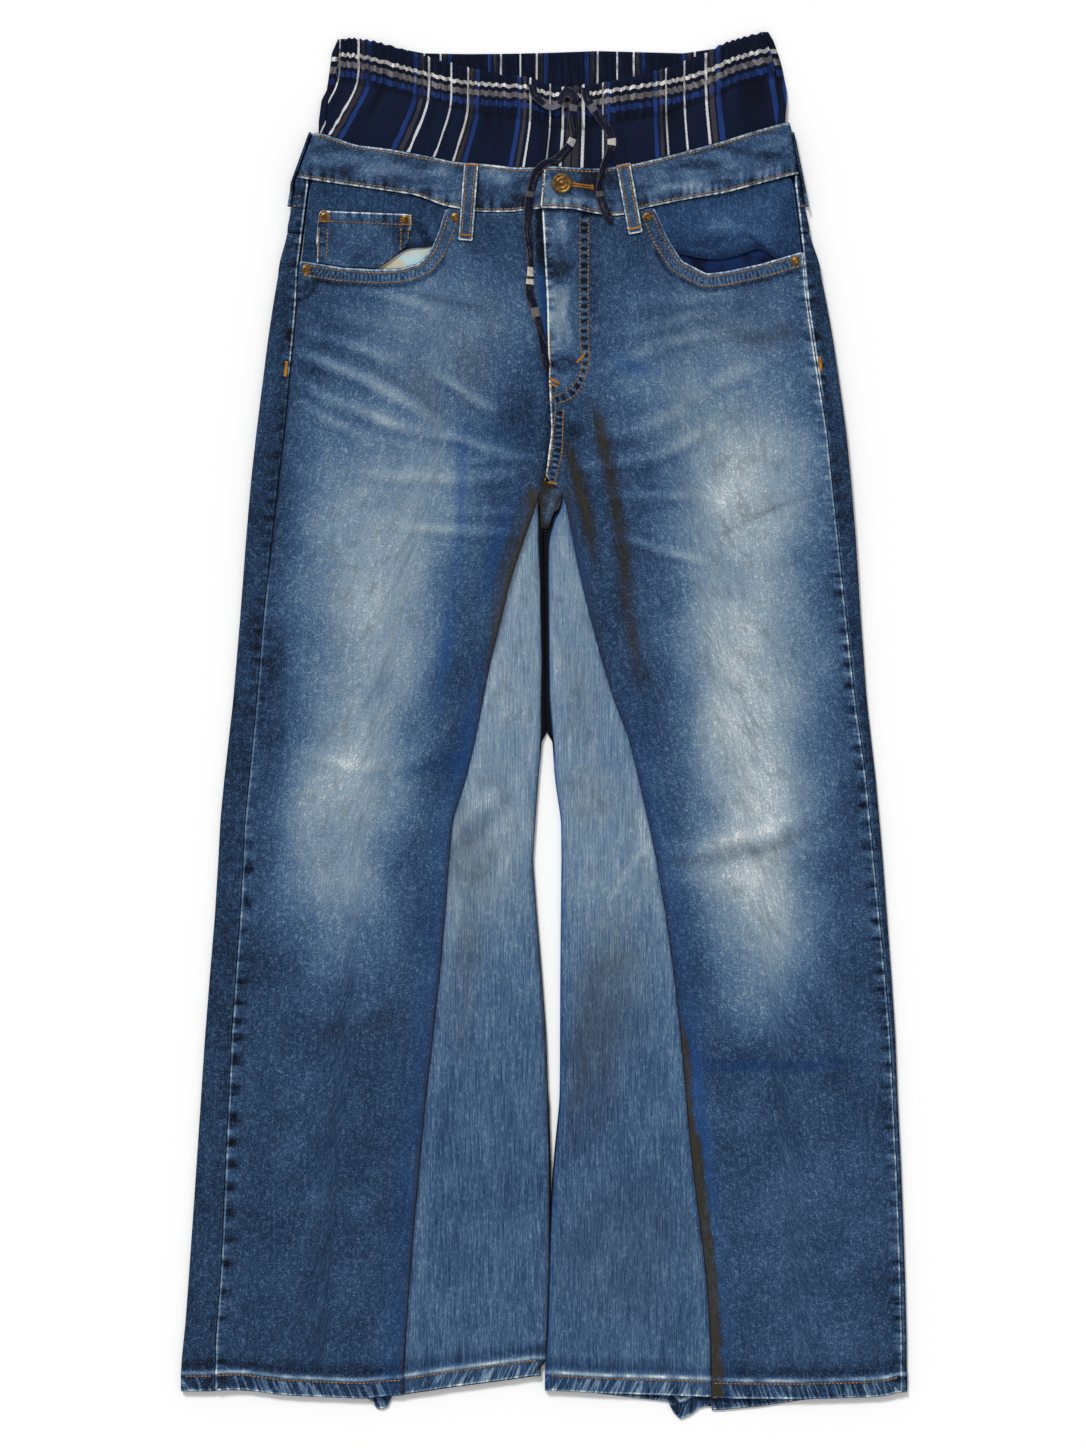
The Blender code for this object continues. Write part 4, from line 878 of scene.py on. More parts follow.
# Lower edge of the wearer's left leg behind, with a folded corner, and how far the corner
# of the other leg hangs down
UNDER_HEM = [
    (9, -557.9), (30, -559.3), (50, -561.5), (80, -565), (104, -567.5), (107, -569.5),
    (109, -577), (112, -581.5), (115, -582.5), (120, -580.5), (126, -577), (129, -575),
    (131, -572), (141, -571.5),
]
BACK_TAB = [(-150, 0), (-144, 4.5), (-140.5, 10), (-137, 11), (-132, 10), (-130, 5), (-128.5, 0)]
BAND_ENDS = {RIGHT: -209.0, LEFT: 215.0}

SEAM, OUTER, INNER, GODET_SEAM, GODET_FOLD, TOP = ({} for _ in range(6))
HEM_FRONT, HEM_GODET, HEM_UNDER, HEM_BACK = ({} for _ in range(4))
for way, wearer in SIDES.items():
    front, back, godet = "front_" + wearer, "back_" + wearer, "godet_" + wearer
    # Spans of the outlines: X of the top, of the hems of front, godet and back
    spans = {
        RIGHT: [(-207, 9), (-275, -128), (-118, -9), (-294, -120)],
        LEFT: [(-1, 217), (152, 297), (9, 139), (149, 294)],
    }[way]
    TOP[way] = outline(front, 0, 1, *spans[0], 1.2)
    facing = outline("pocket_facing_" + wearer, 1, way, 393, 455)
    SEAM[way] = joined(outline(front, 1, way, -556, 380), facing, 380, 393, 0.6 * way)
    yoke = outline("yoke_" + wearer, 1, way, 420, 449, 2)
    upper = lambda y, a=yoke, b=BAND_ENDS[way]: mix(a(y), b, slope(y, 447, 461))
    OUTER[way] = joined(outline(back, 1, way, -570, 380), upper, 380, 420)
    GODET_SEAM[way] = outline(godet, 1, way, SEAM_LOW, GODET_TOP)
    GODET_FOLD[way] = outline(godet, 1, -way, SEAM_LOW, GODET_TOP, 5, 3.2)
    INNER[way] = outline(front, 1, -way, GODET_TOP, 199, 2)
    HEM_FRONT[way] = outline(front, 0, -1, *spans[1], 3)
    HEM_GODET[way] = HEM_UNDER[way] = outline(godet, 0, -1, *spans[2], 3, 3.2)
    HEM_BACK[way] = outline(back, 0, -1, *spans[3], 1.5)
right_hem = HEM_BACK[RIGHT]
HEM_BACK[RIGHT] = lambda x: right_hem(x) - through(x, BACK_TAB)
HEM_UNDER[LEFT] = lambda x: through(x, UNDER_HEM)
FLY = outline("front_left", 1, -1, 207, 434, 2)
BAND_LOW_Y = outline("waistband", 0, -1, -208, 214, 3, 6.6)
high_edge = outline("waistband", 0, 1, -194, 206, 3, 6.6)
BAND_HIGH_Y = lambda x: high_edge(x) + np.interp(x, [75, 122, 190, 206], [0, 3.8, 5.6, 6.4])


# ---------------------------------------------------------------- fronts and legs


# Lines between the two rows of stitches of the fly, and between those of the fork
FLY_LINE = [(33.9, 436), (33.9, 325), (35.1, 312), (32.2, 293), (23.5, 280), (7, 272)]
FORK_LINE = [(13.2, 262), (11.9, 249), (10.8, 230.5), (7.4, 214), (4.9, 205)]


def front_grid(way, name):
    """X and Y of a front leg's points, its hem's Y by column, and the line of its top."""
    low = outline(name, 1, -1, -556, 380 if way == RIGHT else 434, 4)
    high = outline(name, 1, 1, -556, 434 if way == RIGHT else 380, 4)
    # Rows pass from the curved top edge to level ones at start, and go on down to the hem
    start = 352.0
    share = spread(236, GRID)
    top_x = mix(low(434), high(434), share)
    top_y = TOP[way](top_x)
    down = spread(50, GRID)[:-1][:, None]
    x_top = mix(top_x, mix(low(start), high(start), share), down)
    y_top = mix(top_y, start, down)
    hem = HEM_FRONT[way](mix(low(SEAM_LOW), high(SEAM_LOW), share))
    y_leg = leg_rows(start, hem, GRID)
    at = np.maximum(y_leg, SEAM_LOW)
    x, y = np.vstack([x_top, mix(low(at), high(at), share)]), np.vstack([y_top, y_leg])
    return x, y, hem, np.stack([top_x, top_y], axis=1)


def top_gap(x, y, line):
    """Distance to the line of the pocket opening and the waist seam, and the run along it."""
    upper = y > 330
    gap, run = np.full(x.shape, 99.0), np.zeros(x.shape)
    reach = np.linalg.norm(grid(x[upper], y[upper])[:, None] - line[None], axis=2)
    gap[upper] = reach.min(axis=1)
    run[upper] = run_along(line)[reach.argmin(axis=1)]
    return gap, run


def make_front(way):
    """A front leg, cut away along the pocket opening, with its fades and creases."""
    name = "front_" + SIDES[way]
    x, y, hem, top_line = front_grid(way, name)
    lift, tone, brown, blue = crease_fields(x, y, CREASES)
    fade, stain = patch_fields(x, y, FADES_AND_SHADE)
    tone += 0.272 + fade + band_fade(way, x, y) + 0.03 * patches(x, y, 40, 3)
    brown += stain
    hem_gap = y - hem
    z = front_level(x, y)
    near_hem = ramp(hem_gap, 30, 17)
    z = mix(z, FRONT_HEM, near_hem) + lift * ramp(hem_gap, 20, 45)
    hem_tone, hem_lift = hem_looks(hem_gap, x, 11 + way)
    tone += hem_tone
    z += hem_lift

    seam_gap = abs(x - SEAM[way](y))
    inner_x = np.where(y > FORK_Y, FLY(y), GODET_SEAM[way](y))
    inner_gap = abs(x - inner_x)
    hip = ramp(y, 205, 235)
    if way == RIGHT:
        rope = pucker(y, seam_gap - 3, 20.5, 6.0, 5) * mix(0.2, 1.3, ramp(y, -60, -150))
        white = mix(0.45, 0.62, ramp(y, -80, -220)) - 0.35 * ramp(y, 110, 140)
        tone -= 0.4 * bell(seam_gap, 1.1) * ramp(y, 110, 140)
    else:
        rope = pucker(y, seam_gap, 16.0, 7.0, 7) * mix(0.4, 1.3, ramp(y, 175, 110))
        rope *= mix(1.0, 0.5, ramp(y, -200, -420))
        white = mix(0.5, 0.75, ramp(y, 175, 110)) + 0.4 * ramp(y, 230, 280)
    tone += 0.1 * ramp(seam_gap, 9, 1) * white - 0.34 * rope
    z += 0.55 * bell(seam_gap, 2.2, 2.5) - 0.8 * bell(seam_gap, 0.8) - 0.5 * rope
    z -= 0.8 * bell(inner_gap, 0.8) * (1 if way == LEFT else 1 - hip)
    shade = ramp(inner_gap, 4.5, 0.3) * (1 - ramp(y, 180, 215))
    tone -= 0.14 * shade
    wide_shade = ramp(inner_gap, 9, 1) * (1 - ramp(y, 190, 215)) * (1 if way == RIGHT else 0.5)
    tone -= 0.11 * wide_shade * ramp(y, 0, 120)
    brown += 0.6 * shade * (1.0 if way == RIGHT else 0.4) + 0.8 * wide_shade * ramp(y, 20, 120)
    blue += 0.3 * ramp(inner_gap, 30, 8) * ramp(y, 100, -100)
    if way == LEFT:
        # The godet's seam opens to a frayed groove towards the hem, with painted shade and a brown
        # tint in it
        broad = mix(2.6, 8.4, ramp(y, -250, -420))
        broad += 2.0 * patches(y, 0, 22, 9) + 1.6 * patches(y, x, 6, 12)
        groove = ramp(inner_gap, broad + 2.5, broad - 1.0) * ramp(y, -235, -275)
        tone -= (0.19 + 0.2 * patches(1.6 * x, 0.5 * y, 3.5, 10)) * groove
        brown += groove
        blue *= 1 - np.clip(groove, 0, 1)

    gap, gap_run = top_gap(x, y, top_line)
    pocket = (x < -82) if way == RIGHT else (x > 92)
    band = ramp(gap, 13.2, 12.0) * pocket
    z += 0.6 * band - 0.9 * bell(gap, 0.8)
    # A painted shadow line just past the band along the pocket opening
    tone += 0.02 * band - 0.2 * bell(gap, 1.8, 14.2) * pocket
    top_strength = np.where(pocket, 0.75, 0.15)

    if way == RIGHT:
        under = ramp(x, FLY(y) - 5.5, FLY(y) - 1.0) * (y > 200)
        z = mix(z, UNDER_FRONT, under)
        shadow = ramp(x, FLY(y) - 8.0, FLY(y) - 4.0) * ramp(y, 285, 300)
        # Painted shade under the fly's lap, and a painted shadow strip beside it
        tone -= 0.14 * under + mix(0.1, 0.34, ramp(y, 372, 392)) * shadow
        blue += 0.9 * shadow * ramp(y, 392, 372)
        fly_strength = 0.0
    else:
        fly_strength = 1.25
        fly_gap, fly_run = line_gap(x, y, FLY_LINE)
        fork_gap, fork_run = line_gap(x, y, FORK_LINE)
        tone -= 0.05 * ramp(fly_gap, 4, 2)
        lines = pucker(y - 0.35 * inner_gap, abs(inner_gap - 38), 8.8, 8, 34)
        tone -= 0.12 * lines * (inner_gap > 35) * ramp(y, 280, 300)
        blots = blot(y - 382, inner_gap - 14, 13, 12, 2) + blot(y - 303, inner_gap - 12, 8, 13, 2)
        tone -= blots * (0.16 + 0.14 * patches(x, 1.6 * y, 6, 35))
        light = ramp(inner_gap, 21, 17) * ramp(y, 312, 322)
        worn = 0.08 + 0.16 * patches(1.6 * x, 0.3 * y, 7, 36)
        tone += light * worn * (1 - 0.9 * np.clip(blots, 0, 1))
        tone += 0.2 * blot(y - 418, inner_gap - 11, 13, 11, 2)
        brown += 0.1 * light
        dent = blot(y - 248, inner_gap - 20, 9, 9)
        tone -= 0.14 * dent
        z -= 0.4 * (blots + dent)
    edges = [
        (seam_gap, y, white, 11.0),
        (inner_gap, y, np.where(y > FORK_Y, fly_strength, 0.1), 9.0),
        (gap, gap_run, top_strength, np.where(pocket, 5.0, 4.0)),
        (np.where(pocket, abs(gap - 7.3), 99.0), gap_run, 0.5, -3.4),
        (np.maximum(hem_gap, 0), x + 0.4 * hem_gap, 0.45, HEM_REACH),
    ]
    if way == LEFT:
        edges += [(fly_gap, fly_run, 0.8, -6.9), (fork_gap, fork_run, 0.8, -5.0)]
    looks = looks_of(tone, brown, blue, DARKEST)
    shell(name, grid(x, y, z), hem_wall(hem_gap), looks, nearest_edge(*edges))


def folded(seam, outer, top, low, wall, way, inner, counts, under=0.0):
    """X and Z of rows of cloth from a seam on top, round a side fold and back under.

    way is +1 for a fold at the +X end. counts are the columns on top, round and under;
    under is how far the turned edge reaches out below. Also gives the first column of the
    turn and the first one after it.
    """
    parts = (seam, outer, top, low, inner, under)
    seam, outer, top, low, inner, under = (np.broadcast_to(v, np.shape(seam)) for v in parts)
    radius, middle = (top - low) / 2, (top + low) / 2
    bulge = np.minimum(radius, np.maximum(0.8 * abs(outer - seam) - wall / 2, 0.1))
    centre = outer - way * (bulge + wall / 2)
    even_steps = np.linspace(0, 1, counts[0] + 1)
    flat = (spread(60, 60 / counts[0]) if counts[0] > 10 else even_steps)[:-1]
    x = mix(seam[:, None], centre[:, None], flat)
    z = np.repeat(top[:, None], len(flat), axis=1)
    turn = np.linspace(0, math.pi, counts[1])
    bend = way * (bulge[:, None] * np.sin(turn) + under[:, None] * (1 - np.cos(turn)) / 2)
    x = np.hstack([x, centre[:, None] + bend])
    z = np.hstack([z, middle[:, None] + radius[:, None] * np.cos(turn)])
    share = np.linspace(0, 1, counts[2] + 1)[1:]
    x = np.hstack([x, mix(x[:, -1:], inner[:, None], share)])
    z = np.hstack([z, np.repeat(low[:, None], len(share), axis=1)])
    return x, z, len(flat), len(flat) + counts[1]


def make_godet(way):
    """An inner-leg panel of paler, slubbed denim, folded round the inner edge."""
    name = "godet_" + SIDES[way]
    probe = np.array([-118.0, -60.0, 0.0] if way == RIGHT else [141.0, 70.0, 0.0])
    y_rows = leg_rows(194.0, HEM_GODET[way](probe), GRID + 0.3)
    y0 = y_rows.mean(axis=1)
    at = np.clip(y0, SEAM_LOW, GODET_TOP)
    seam = mix(GODET_SEAM[way](at), INNER[way](y0), ramp(y0, 177, 184)) - 0.3 * way
    tip = -4.4 if way == RIGHT else 15.4
    fold = mix(GODET_FOLD[way](at), tip, slope(y0, 174, 194))
    fold = fold + (3.8 * slope(y0, -330, -450) if way == RIGHT else -1.4 * bell(y0, 60, -385))
    middle_gap = (GODET_FOLD[RIGHT](at) + GODET_FOLD[LEFT](at)) / 2
    under = np.maximum(abs(middle_gap - fold) + (FRONT_LEG - BACK_LEG) / 2 + DENIM / 2 - 1.2, 0)
    under = under * ramp(y0, -14, -4) * ramp(y0, 186, 172)
    middle = (seam + fold) / 2
    hem_mean = HEM_GODET[way](middle)
    near_hem = ramp(y0 - hem_mean, 30, 17)
    top = mix(front_level(middle, y0), FRONT_HEM, near_hem)
    low = mix(back_level(y0), BACK_HEM, near_hem)
    x, z, flat, turned = folded(seam, fold, top, low, DENIM, -way, seam, (46, 9, 26), under)
    columns = x.shape[1]
    column = np.arange(columns)
    on_top = column < flat + 4
    hem = np.where(on_top, HEM_GODET[way](x), HEM_UNDER[way](x))
    y = np.repeat(y0[:, None], columns, axis=1)
    for count, row in enumerate(range(len(y0) - len(HEM_STEPS), len(y0))):
        y[row] += (hem[row] - hem_mean[row]) * min(1.0, count / HEM_EASE)
    hem_gap = y - hem

    lift, tone, brown, blue = crease_fields(x, y, GODET_CREASES)
    fade, stain = patch_fields(x, y, GODET_FADES)
    tone += 0.385 + 0.09 * ramp(y, -300, -200) + fade + 0.02 * patches(x, y, 50, 8)
    blue += 0.16 * ramp(y, -160, -60)
    brown += stain
    hem_tone, hem_lift = hem_looks(hem_gap, x, 21 + way)
    tone += hem_tone - 0.05 * ramp(hem_gap, 14, 10)
    weight = np.where(on_top, 1.0, 0.0)
    relief = fold_height(x, y) - fold_height(np.repeat(middle[:, None], columns, 1), y)
    z = z + weight * (relief * ramp(hem_gap, 20, 45) + lift * ramp(hem_gap, 20, 45) + hem_lift)
    seam_gap, fold_gap = abs(x - seam[:, None]), abs(x - fold[:, None])
    z = z - weight * 0.9 * bell(seam_gap, 0.8)
    dark = ramp(seam_gap, 2.0, 0.2) * weight
    tone -= 0.2 * dark
    brown += 0.5 * dark
    stain = ramp(seam_gap, 5, 1) * ramp(y, 190, 150) * ramp(y, 20, 90) * weight * (way == RIGHT)
    brown += 0.7 * stain
    tone -= 0.04 * stain
    tone += 0.05 * bell(seam_gap, 4, 7) * weight
    inner_edge = ramp(fold_gap, 6, 0.5)
    tone -= inner_edge * (0.1 if way == RIGHT else 0.02)
    brown += inner_edge * (0.5 if way == RIGHT else 0.0)
    blue += inner_edge * (0.0 if way == RIGHT else 0.6)
    hidden = column >= flat + 5
    tone = tone - 0.14 * hidden * ramp(hem_gap, 16, 12)
    # Painted shadow: in the slit between the legs the turned edge is painted black
    slit = ramp(y, -30, -10) + ramp(y, -310, -350) * ramp(y, -525, -505)
    slit = slit * (column >= flat + 2) * (column < turned)
    tone = mix(tone, -0.5, slit)
    brown, blue = brown * (1 - slit), blue * (1 - slit)
    # A painted shade line along the fold's edge
    line = ramp(fold_gap, 2.2, 0.5) * (column < turned)
    tone -= mix(0.25, 0.5, ramp(y, -20, 20)) * line
    edge = nearest_edge(
        (seam_gap, y, 0.06, 8.0),
        (np.maximum(hem_gap, 0), x - 0.5 * hem_gap, 0.45, HEM_REACH),
    )
    looks = looks_of(tone, brown, blue, -0.5)
    wall = hem_wall(hem_gap)
    shell(name, grid(x, y, z), wall, looks, edge, "slubbed", grid(x, y))


# Shallow creases of the seat and the legs' underside
BACK_CREASES = rows_of(Crease, [
    (30, 250, 80, 232, 150, 228, 8, 0.8, 0.08),
    (24, 222, 80, 205, 140, 190, 7, 0.8, 0.08),
    (40, 190, 90, 160, 150, 150, 8, 0.7, 0.06),
    (120, -20, 170, -40, 220, -36, 9, 0.8, -0.05),
    (130, -70, 180, -84, 236, -70, 8, 0.7, 0.05),
    (150, -300, 190, -310, 240, -300, 10, 0.8, -0.04),
    (90, 40, 130, 20, 170, 30, 9, 0.7, 0.04),
])
BACK_FADES = rows_of(Patch, [
    (120, 210, 70, 90, 0.2),
    (150, -60, 60, 190, 0.16),
    (110, 300, 60, 60, 0.12),
])
SEAT_LOW = 206  # where the centre back seam ends
BACK_HEM_Y = -562.0


def back_piece(name, way, y_side, y_middle, hem=None):
    """A back piece: a strip on top from the side seam, the side fold, and the underside."""
    at = np.clip(y_side, -541, 468)
    seam, outer = SEAM[way](at) + 0.5 * way, OUTER[way](at)
    inner = GODET_SEAM[way](np.clip(y_middle, SEAM_LOW, GODET_TOP)) + 0.2 * way
    inner = mix(inner, 15.0 if way == LEFT else -3.0, ramp(y_middle, 182, 199))
    inner = np.where(y_middle > SEAT_LOW, CENTRE_X + 0.15 * way, inner)
    top, low = front_level(seam, y_side), back_level(y_middle)
    if hem is not None:
        near = ramp(y_side - BACK_HEM_Y, 30, 17)
        top, low = mix(top, FRONT_HEM, near), mix(low, BACK_HEM, near)
    x, z, _, turned = folded(seam, outer, top, low, DENIM, way, inner, (9, 9, 42))
    share = np.clip((x - x[:, [turned]]) / (x[:, [-1]] - x[:, [turned]] + 1e-9), 0, 1)
    share[:, :turned] = 0
    y = mix(y_side[:, None], y_middle[:, None], share)
    under = (np.arange(x.shape[1]) >= turned).astype(float)
    hem_gap = np.full(x.shape, 99.0)
    if hem is not None:
        y = y + (hem(x) - BACK_HEM_Y) * ramp(y_side, -500, -520)[:, None]
        hem_gap = y - hem(x)
    lift, tone, brown, blue = crease_fields(abs(x), y, BACK_CREASES)
    fade, _ = patch_fields(abs(x), y, BACK_FADES)
    hem_tone, hem_lift = hem_looks(hem_gap, x, 31 + way)
    seam_gap = abs(x - seam[:, None]) + 99 * under
    rope = pucker(y, seam_gap, 13.5, 7.5, 15 + way)
    least, fading = (0.35, ramp(y, 60, -60)) if way == RIGHT else (0.25, ramp(y, 190, 150))
    rope = rope * mix(1.0, least, fading)
    tone = 0.22 + (tone + fade) * under + hem_tone - 0.2 * rope
    # Painted shade along the side fold's edge
    tone = tone - 0.05 * bell(abs(x - outer[:, None]), 2.5) * (1 - under)
    z = z + under * np.clip(lift, 0, 1) * ramp(hem_gap, 20, 45)
    z = z + np.where(under > 0, 0.0, hem_lift * 0.7)
    z = z - (1 - under) * (0.8 * bell(seam_gap, 0.8) + 0.4 * rope)
    worn = 0.25 + 0.85 * ramp(y, *((285, 310) if way == RIGHT else (270, 290)))
    edge = nearest_edge(
        (seam_gap, y, worn, 8.0),
        (np.maximum(hem_gap, 0), x + 0.4 * hem_gap, 0.45, HEM_REACH),
    )
    looks = looks_of(tone, brown, blue, DARKEST)
    shell(name, grid(x, y, z), hem_wall(hem_gap), looks, edge)


def make_back(way):
    body = np.arange(199.0, -505, -3.4)
    near = [48, 40, 34, 29, 25, 22, 19.5, 17.6, 16, 14.5, 12.8, 11, 9, 6.5, 4, 2, 0.8, 0]
    below = np.concatenate([body, BACK_HEM_Y + np.array(near)])
    y_side = np.concatenate([np.linspace(413.5, 205, 62), below])
    y_middle = np.concatenate([np.linspace(387.5, 205, 62), below])
    back_piece("back_" + SIDES[way], way, y_side, y_middle, HEM_BACK[way])


def back_waist(x, high):
    """The back band's lower or upper edge at x, which rises to the centre back."""
    ends = BAND_CORNERS["high" if high else "low"]
    share = np.clip((x - ends[0].x) / (ends[1].x - ends[0].x), 0, 1)
    return mix(ends[0].y, ends[1].y, share) + 9.0 * np.sin(math.pi * share)


def make_yoke(way):
    share = np.linspace(0, 1, 20)
    y_side = mix(462.0 - 2.2 * (way < 0), 414.4, share)
    back_piece("yoke_" + SIDES[way], way, y_side, mix(469.5, 388.6, share))


BAND_CORNERS = {
    "low": (Point(-208.5, 460.0), Point(214.4, 463.0)),
    "high": (Point(-194.2, 499.4), Point(206.8, 501.1)),
}
LAP_START, LAP_END, LAP_RAMP = 0.4845, 0.56, (0.595, 0.625)
BAND_FADES = rows_of(Patch, [
    (-137, 466, 34, 12, 0.12, 0.05),
    (-176, 474, 22, 8, 0.22),
    (-94, 458, 24, 9, 0.1),
    (-110, 476, 20, 5, -0.06),
    (-44, 460, 14, 9, 0.16),
    (-20, 448, 9, 16, -0.14),
    (-56, 450, 5, 14, -0.14),
    (2, 455, 5, 16, 0.1, 0.1),
    (12, 441, 16, 6, 0.3, 0.05),
    (34, 441, 12, 5, 0.2),
    (40, 462, 10, 12, -0.12),
    (120, 452, 30, 7, 0.14),
    (170, 462, 30, 7, 0.14),
    (150, 478, 40, 7, 0.03),
    (60, 455, 9, 16, -0.14),
    (-50, 440, 12, 10, -0.08),
    (-6, 440, 5, 14, -0.1),
])


def make_waistband():
    """One band all round, its left end lapped over its right."""
    across = BAND_CORNERS["low"][1].x - BAND_CORNERS["low"][0].x

    def run_of(start, end, step):
        return np.linspace(start, end, max(2, round(abs(end - start) * across / step)))

    lapped = run_of(LAP_START, 1.0, 2.0)
    right_end = run_of(0.0, LAP_END, 2.0)
    back = run_of(0.965, 0.035, 4.0)
    turns = np.linspace(0, math.pi, 9)
    radius, middle = (FRONT_BAND - BACK_BAND) / 2, (FRONT_BAND + BACK_BAND) / 2
    columns = [("front", s, mix(LAPPED_BAND, FRONT_BAND, ramp(s, *LAP_RAMP))) for s in lapped[:-3]]
    columns += [("left", 1.0, t) for t in turns] + [("back", s, BACK_BAND) for s in back]
    columns += [("right", 0.0, t) for t in turns[::-1]]
    columns += [("front", s, FRONT_BAND) for s in right_end[3:]]
    rows = spread(BAND_HEIGHT, 2.4)
    points = np.zeros((len(rows), len(columns), 3))
    for index, (kind, share, value) in enumerate(columns):
        ends = []
        for level, front_y in (("high", BAND_HIGH_Y), ("low", BAND_LOW_Y)):
            x = mix(BAND_CORNERS[level][0].x, BAND_CORNERS[level][1].x, share)
            if kind == "back":
                ends.append((x, float(back_waist(x, level == "high")), value))
            elif kind == "front":
                ends.append((x, float(front_y(x)), value))
            else:
                way = LEFT if kind == "left" else RIGHT
                x_turn = x - way * (radius + BAND / 2) + way * radius * math.sin(value)
                ends.append((x_turn, float(front_y(x)), middle + radius * math.cos(value)))
        high, low = np.array(ends[0]), np.array(ends[1])
        points[:, index] = mix(high, low, rows[:, None])
    for row in points:
        for axis in (1, 2):
            row[:, axis] = smooth(row[:, axis], 1.0)
    x, y, z = points[..., 0].copy(), points[..., 1].copy(), points[..., 2]
    front = np.array([c[0] == "front" for c in columns])[None, :]
    down = rows[:, None] * BAND_HEIGHT + 0 * x
    up = BAND_HEIGHT - down
    fade, stain = patch_fields(x, y, BAND_FADES)
    rope = pucker(x, up - 2, 9.5, 8.0, 61)
    ends_gap = np.minimum(abs(x - x[:, [0]]) + 99 * ~front, 99)
    ends_gap[:, 40:] = 99
    tone = 0.32 + fade * front + 0.04 * patches(x, y, 16, 62) - 0.26 * rope
    crease = 0.6 * patches(x + 0.4 * y, y * 1.6, 17, 64) + 0.4 * patches(x, y * 2.5, 11, 65)
    lift = 0.35 * crease * np.sin(math.pi * rows[:, None]) - 0.35 * rope
    lift -= 0.4 * bell(down, 0.9) + 0.4 * bell(up, 0.9)
    points[..., 2] = z + lift * (z > middle)
    streak = patches(0.35 * x - 0.25 * y, 1.7 * y, 7, 66)
    tone += (0.17 * crease + 0.13 * streak) * front
    # Painted shadow of the wearer's left tie, low on the band
    tone -= 0.2 * bell(x, 12, 42) * ramp(up, 8, 14) * front
    edge = nearest_edge((down, x, 0.8, 5.0), (up, x, 1.0, 13.0), (ends_gap, y, 1.5, 5.0))
    shell("waistband", points, BAND, looks_of(tone, stain + 0.1, 0.04, 0.03), edge)


# ---------------------------------------------------------------- pockets, loops and gusset


# Lower edge of the facing in the open pocket
FACING_LOW = [
    (88, 394), (105, 397), (117, 396), (130, 393.2), (144, 391.6), (156, 393.2),
    (167, 396.6), (176, 400.6), (181, 402.6), (185, 400), (190, 396), (198, 390), (214, 388),
]
FACING_FADES = {
    RIGHT: [],
    LEFT: [Patch(168, 424, 34, 16, 0.12), Patch(120, 425, 24, 14, 0.05)],
}
FACING_CREASES = {
    RIGHT: [
        Crease(-108, 424, -100, 412, -99, 398, 4, -0.3, -0.2),
        Crease(-97, 424, -92, 412, -92, 402, 3, 0.3, 0.1),
    ],
    LEFT: [
        Crease(158, 418, 174, 410, 183, 402, 2.6, -0.4, -0.16),
        Crease(120, 412, 150, 418, 184, 414, 5, 0.4, 0.08),
    ],
}


def make_facing(way):
    """The cloth inside a pocket opening, from the waist seam down under its edge."""
    name = "pocket_facing_" + SIDES[way]
    span = (-205, -76) if way == RIGHT else (88, 214)
    upper = outline(name, 0, 1, *span, 2)
    lower = outline(name, 0, -1, *span, 6)
    if way == LEFT:
        lower = lambda at: through(at, FACING_LOW)
    share = spread(span[1] - span[0], GRID)
    inner = span[1] if way == RIGHT else span[0]
    ends = [(SEAM[way](y) - 0.4 * way, inner)[::-way] for y in (458.0, 392.0)]
    x_high, x_low = mix(*ends[0], share), mix(*ends[1], share)
    down = spread(50, GRID)[:, None]
    x = mix(x_high, x_low, down)
    y = mix(upper(x_high) - 0.3, smooth(lower(x_low), 1.5), down)
    wave = patches(x, y * 1.6, 26, 70 + way)
    tone = 0.22 + 0.05 * wave + 0.03 * patches(x, y, 9, 72)
    fold = crease_fields(x, y, FACING_CREASES[way])
    tone += patch_fields(x, y, FACING_FADES[way])[0] + fold[1]
    lift = 0.35 * wave + fold[0]
    seam_gap = abs(x - SEAM[way](y))
    edge = nearest_edge((seam_gap, y, 0.5, 6.0), (abs(y - upper(x)), x, 0.3, 6.0))
    # Painted shade along the facing's lower edge
    tone -= 0.16 * ramp(abs(y - lower(x)), 7, 0.5)
    points = grid(x, y, UNDER_FRONT + np.clip(lift, -0.2, 0.4))
    looks = looks_of(tone, 0.0, 0.1 if way == RIGHT else 0.25)
    shell(name, points, DENIM, looks, edge)


def make_bag(way):
    name = "pocket_bag_" + SIDES[way]
    left = outline(name, 1, -1, 262, 424, 3)
    right = outline(name, 1, 1, 262, 424, 3)
    y = np.linspace(424, 262, 55)[:, None]
    x = mix(left(y), right(y), np.linspace(0, 1, 44))
    # The left bag's navy is partly its own colour and partly painted shade in the open pocket
    slot = "pocketing" if way == RIGHT else "navy_cloth"
    points = grid(x, y, BAG_LEVEL + 0.3 * patches(x, y, 14, 80 + way))
    shell(name, points, BAG, material=slot)


def strap(name, corners, level, step, shade, strengths, soft):
    """A four-cornered strap: corners are top left, top right, low right and low left."""
    a, b, c, d = (np.array(p, dtype=float) for p in corners)
    wide, tall = np.linalg.norm(b - a), np.linalg.norm(d - a)
    s, t = spread(wide, step), spread(tall, step)[:, None]
    spot = mix(mix(a, b, s[:, None])[None], mix(d, c, s[:, None])[None], t[..., None])
    x, y = spot[..., 0], spot[..., 1]
    gaps = (t * tall + 0 * s, (1 - s) * wide + 0 * t, (1 - t) * tall + 0 * s, s * wide + 0 * t)
    edge = nearest_edge(*((g, r, k, 3.0) for g, r, k in zip(gaps, (x, y, x, y), strengths)))
    z = level(t) - 0.35 * bell(np.min(gaps, axis=0), 0.8) + soft * patches(x, y, 11, 90)
    looks = looks_of(shade + 0.06 * patches(x, y, 12, 91), 0, 0.05)
    shell(name, grid(x, y, z), STRAP, looks, edge)


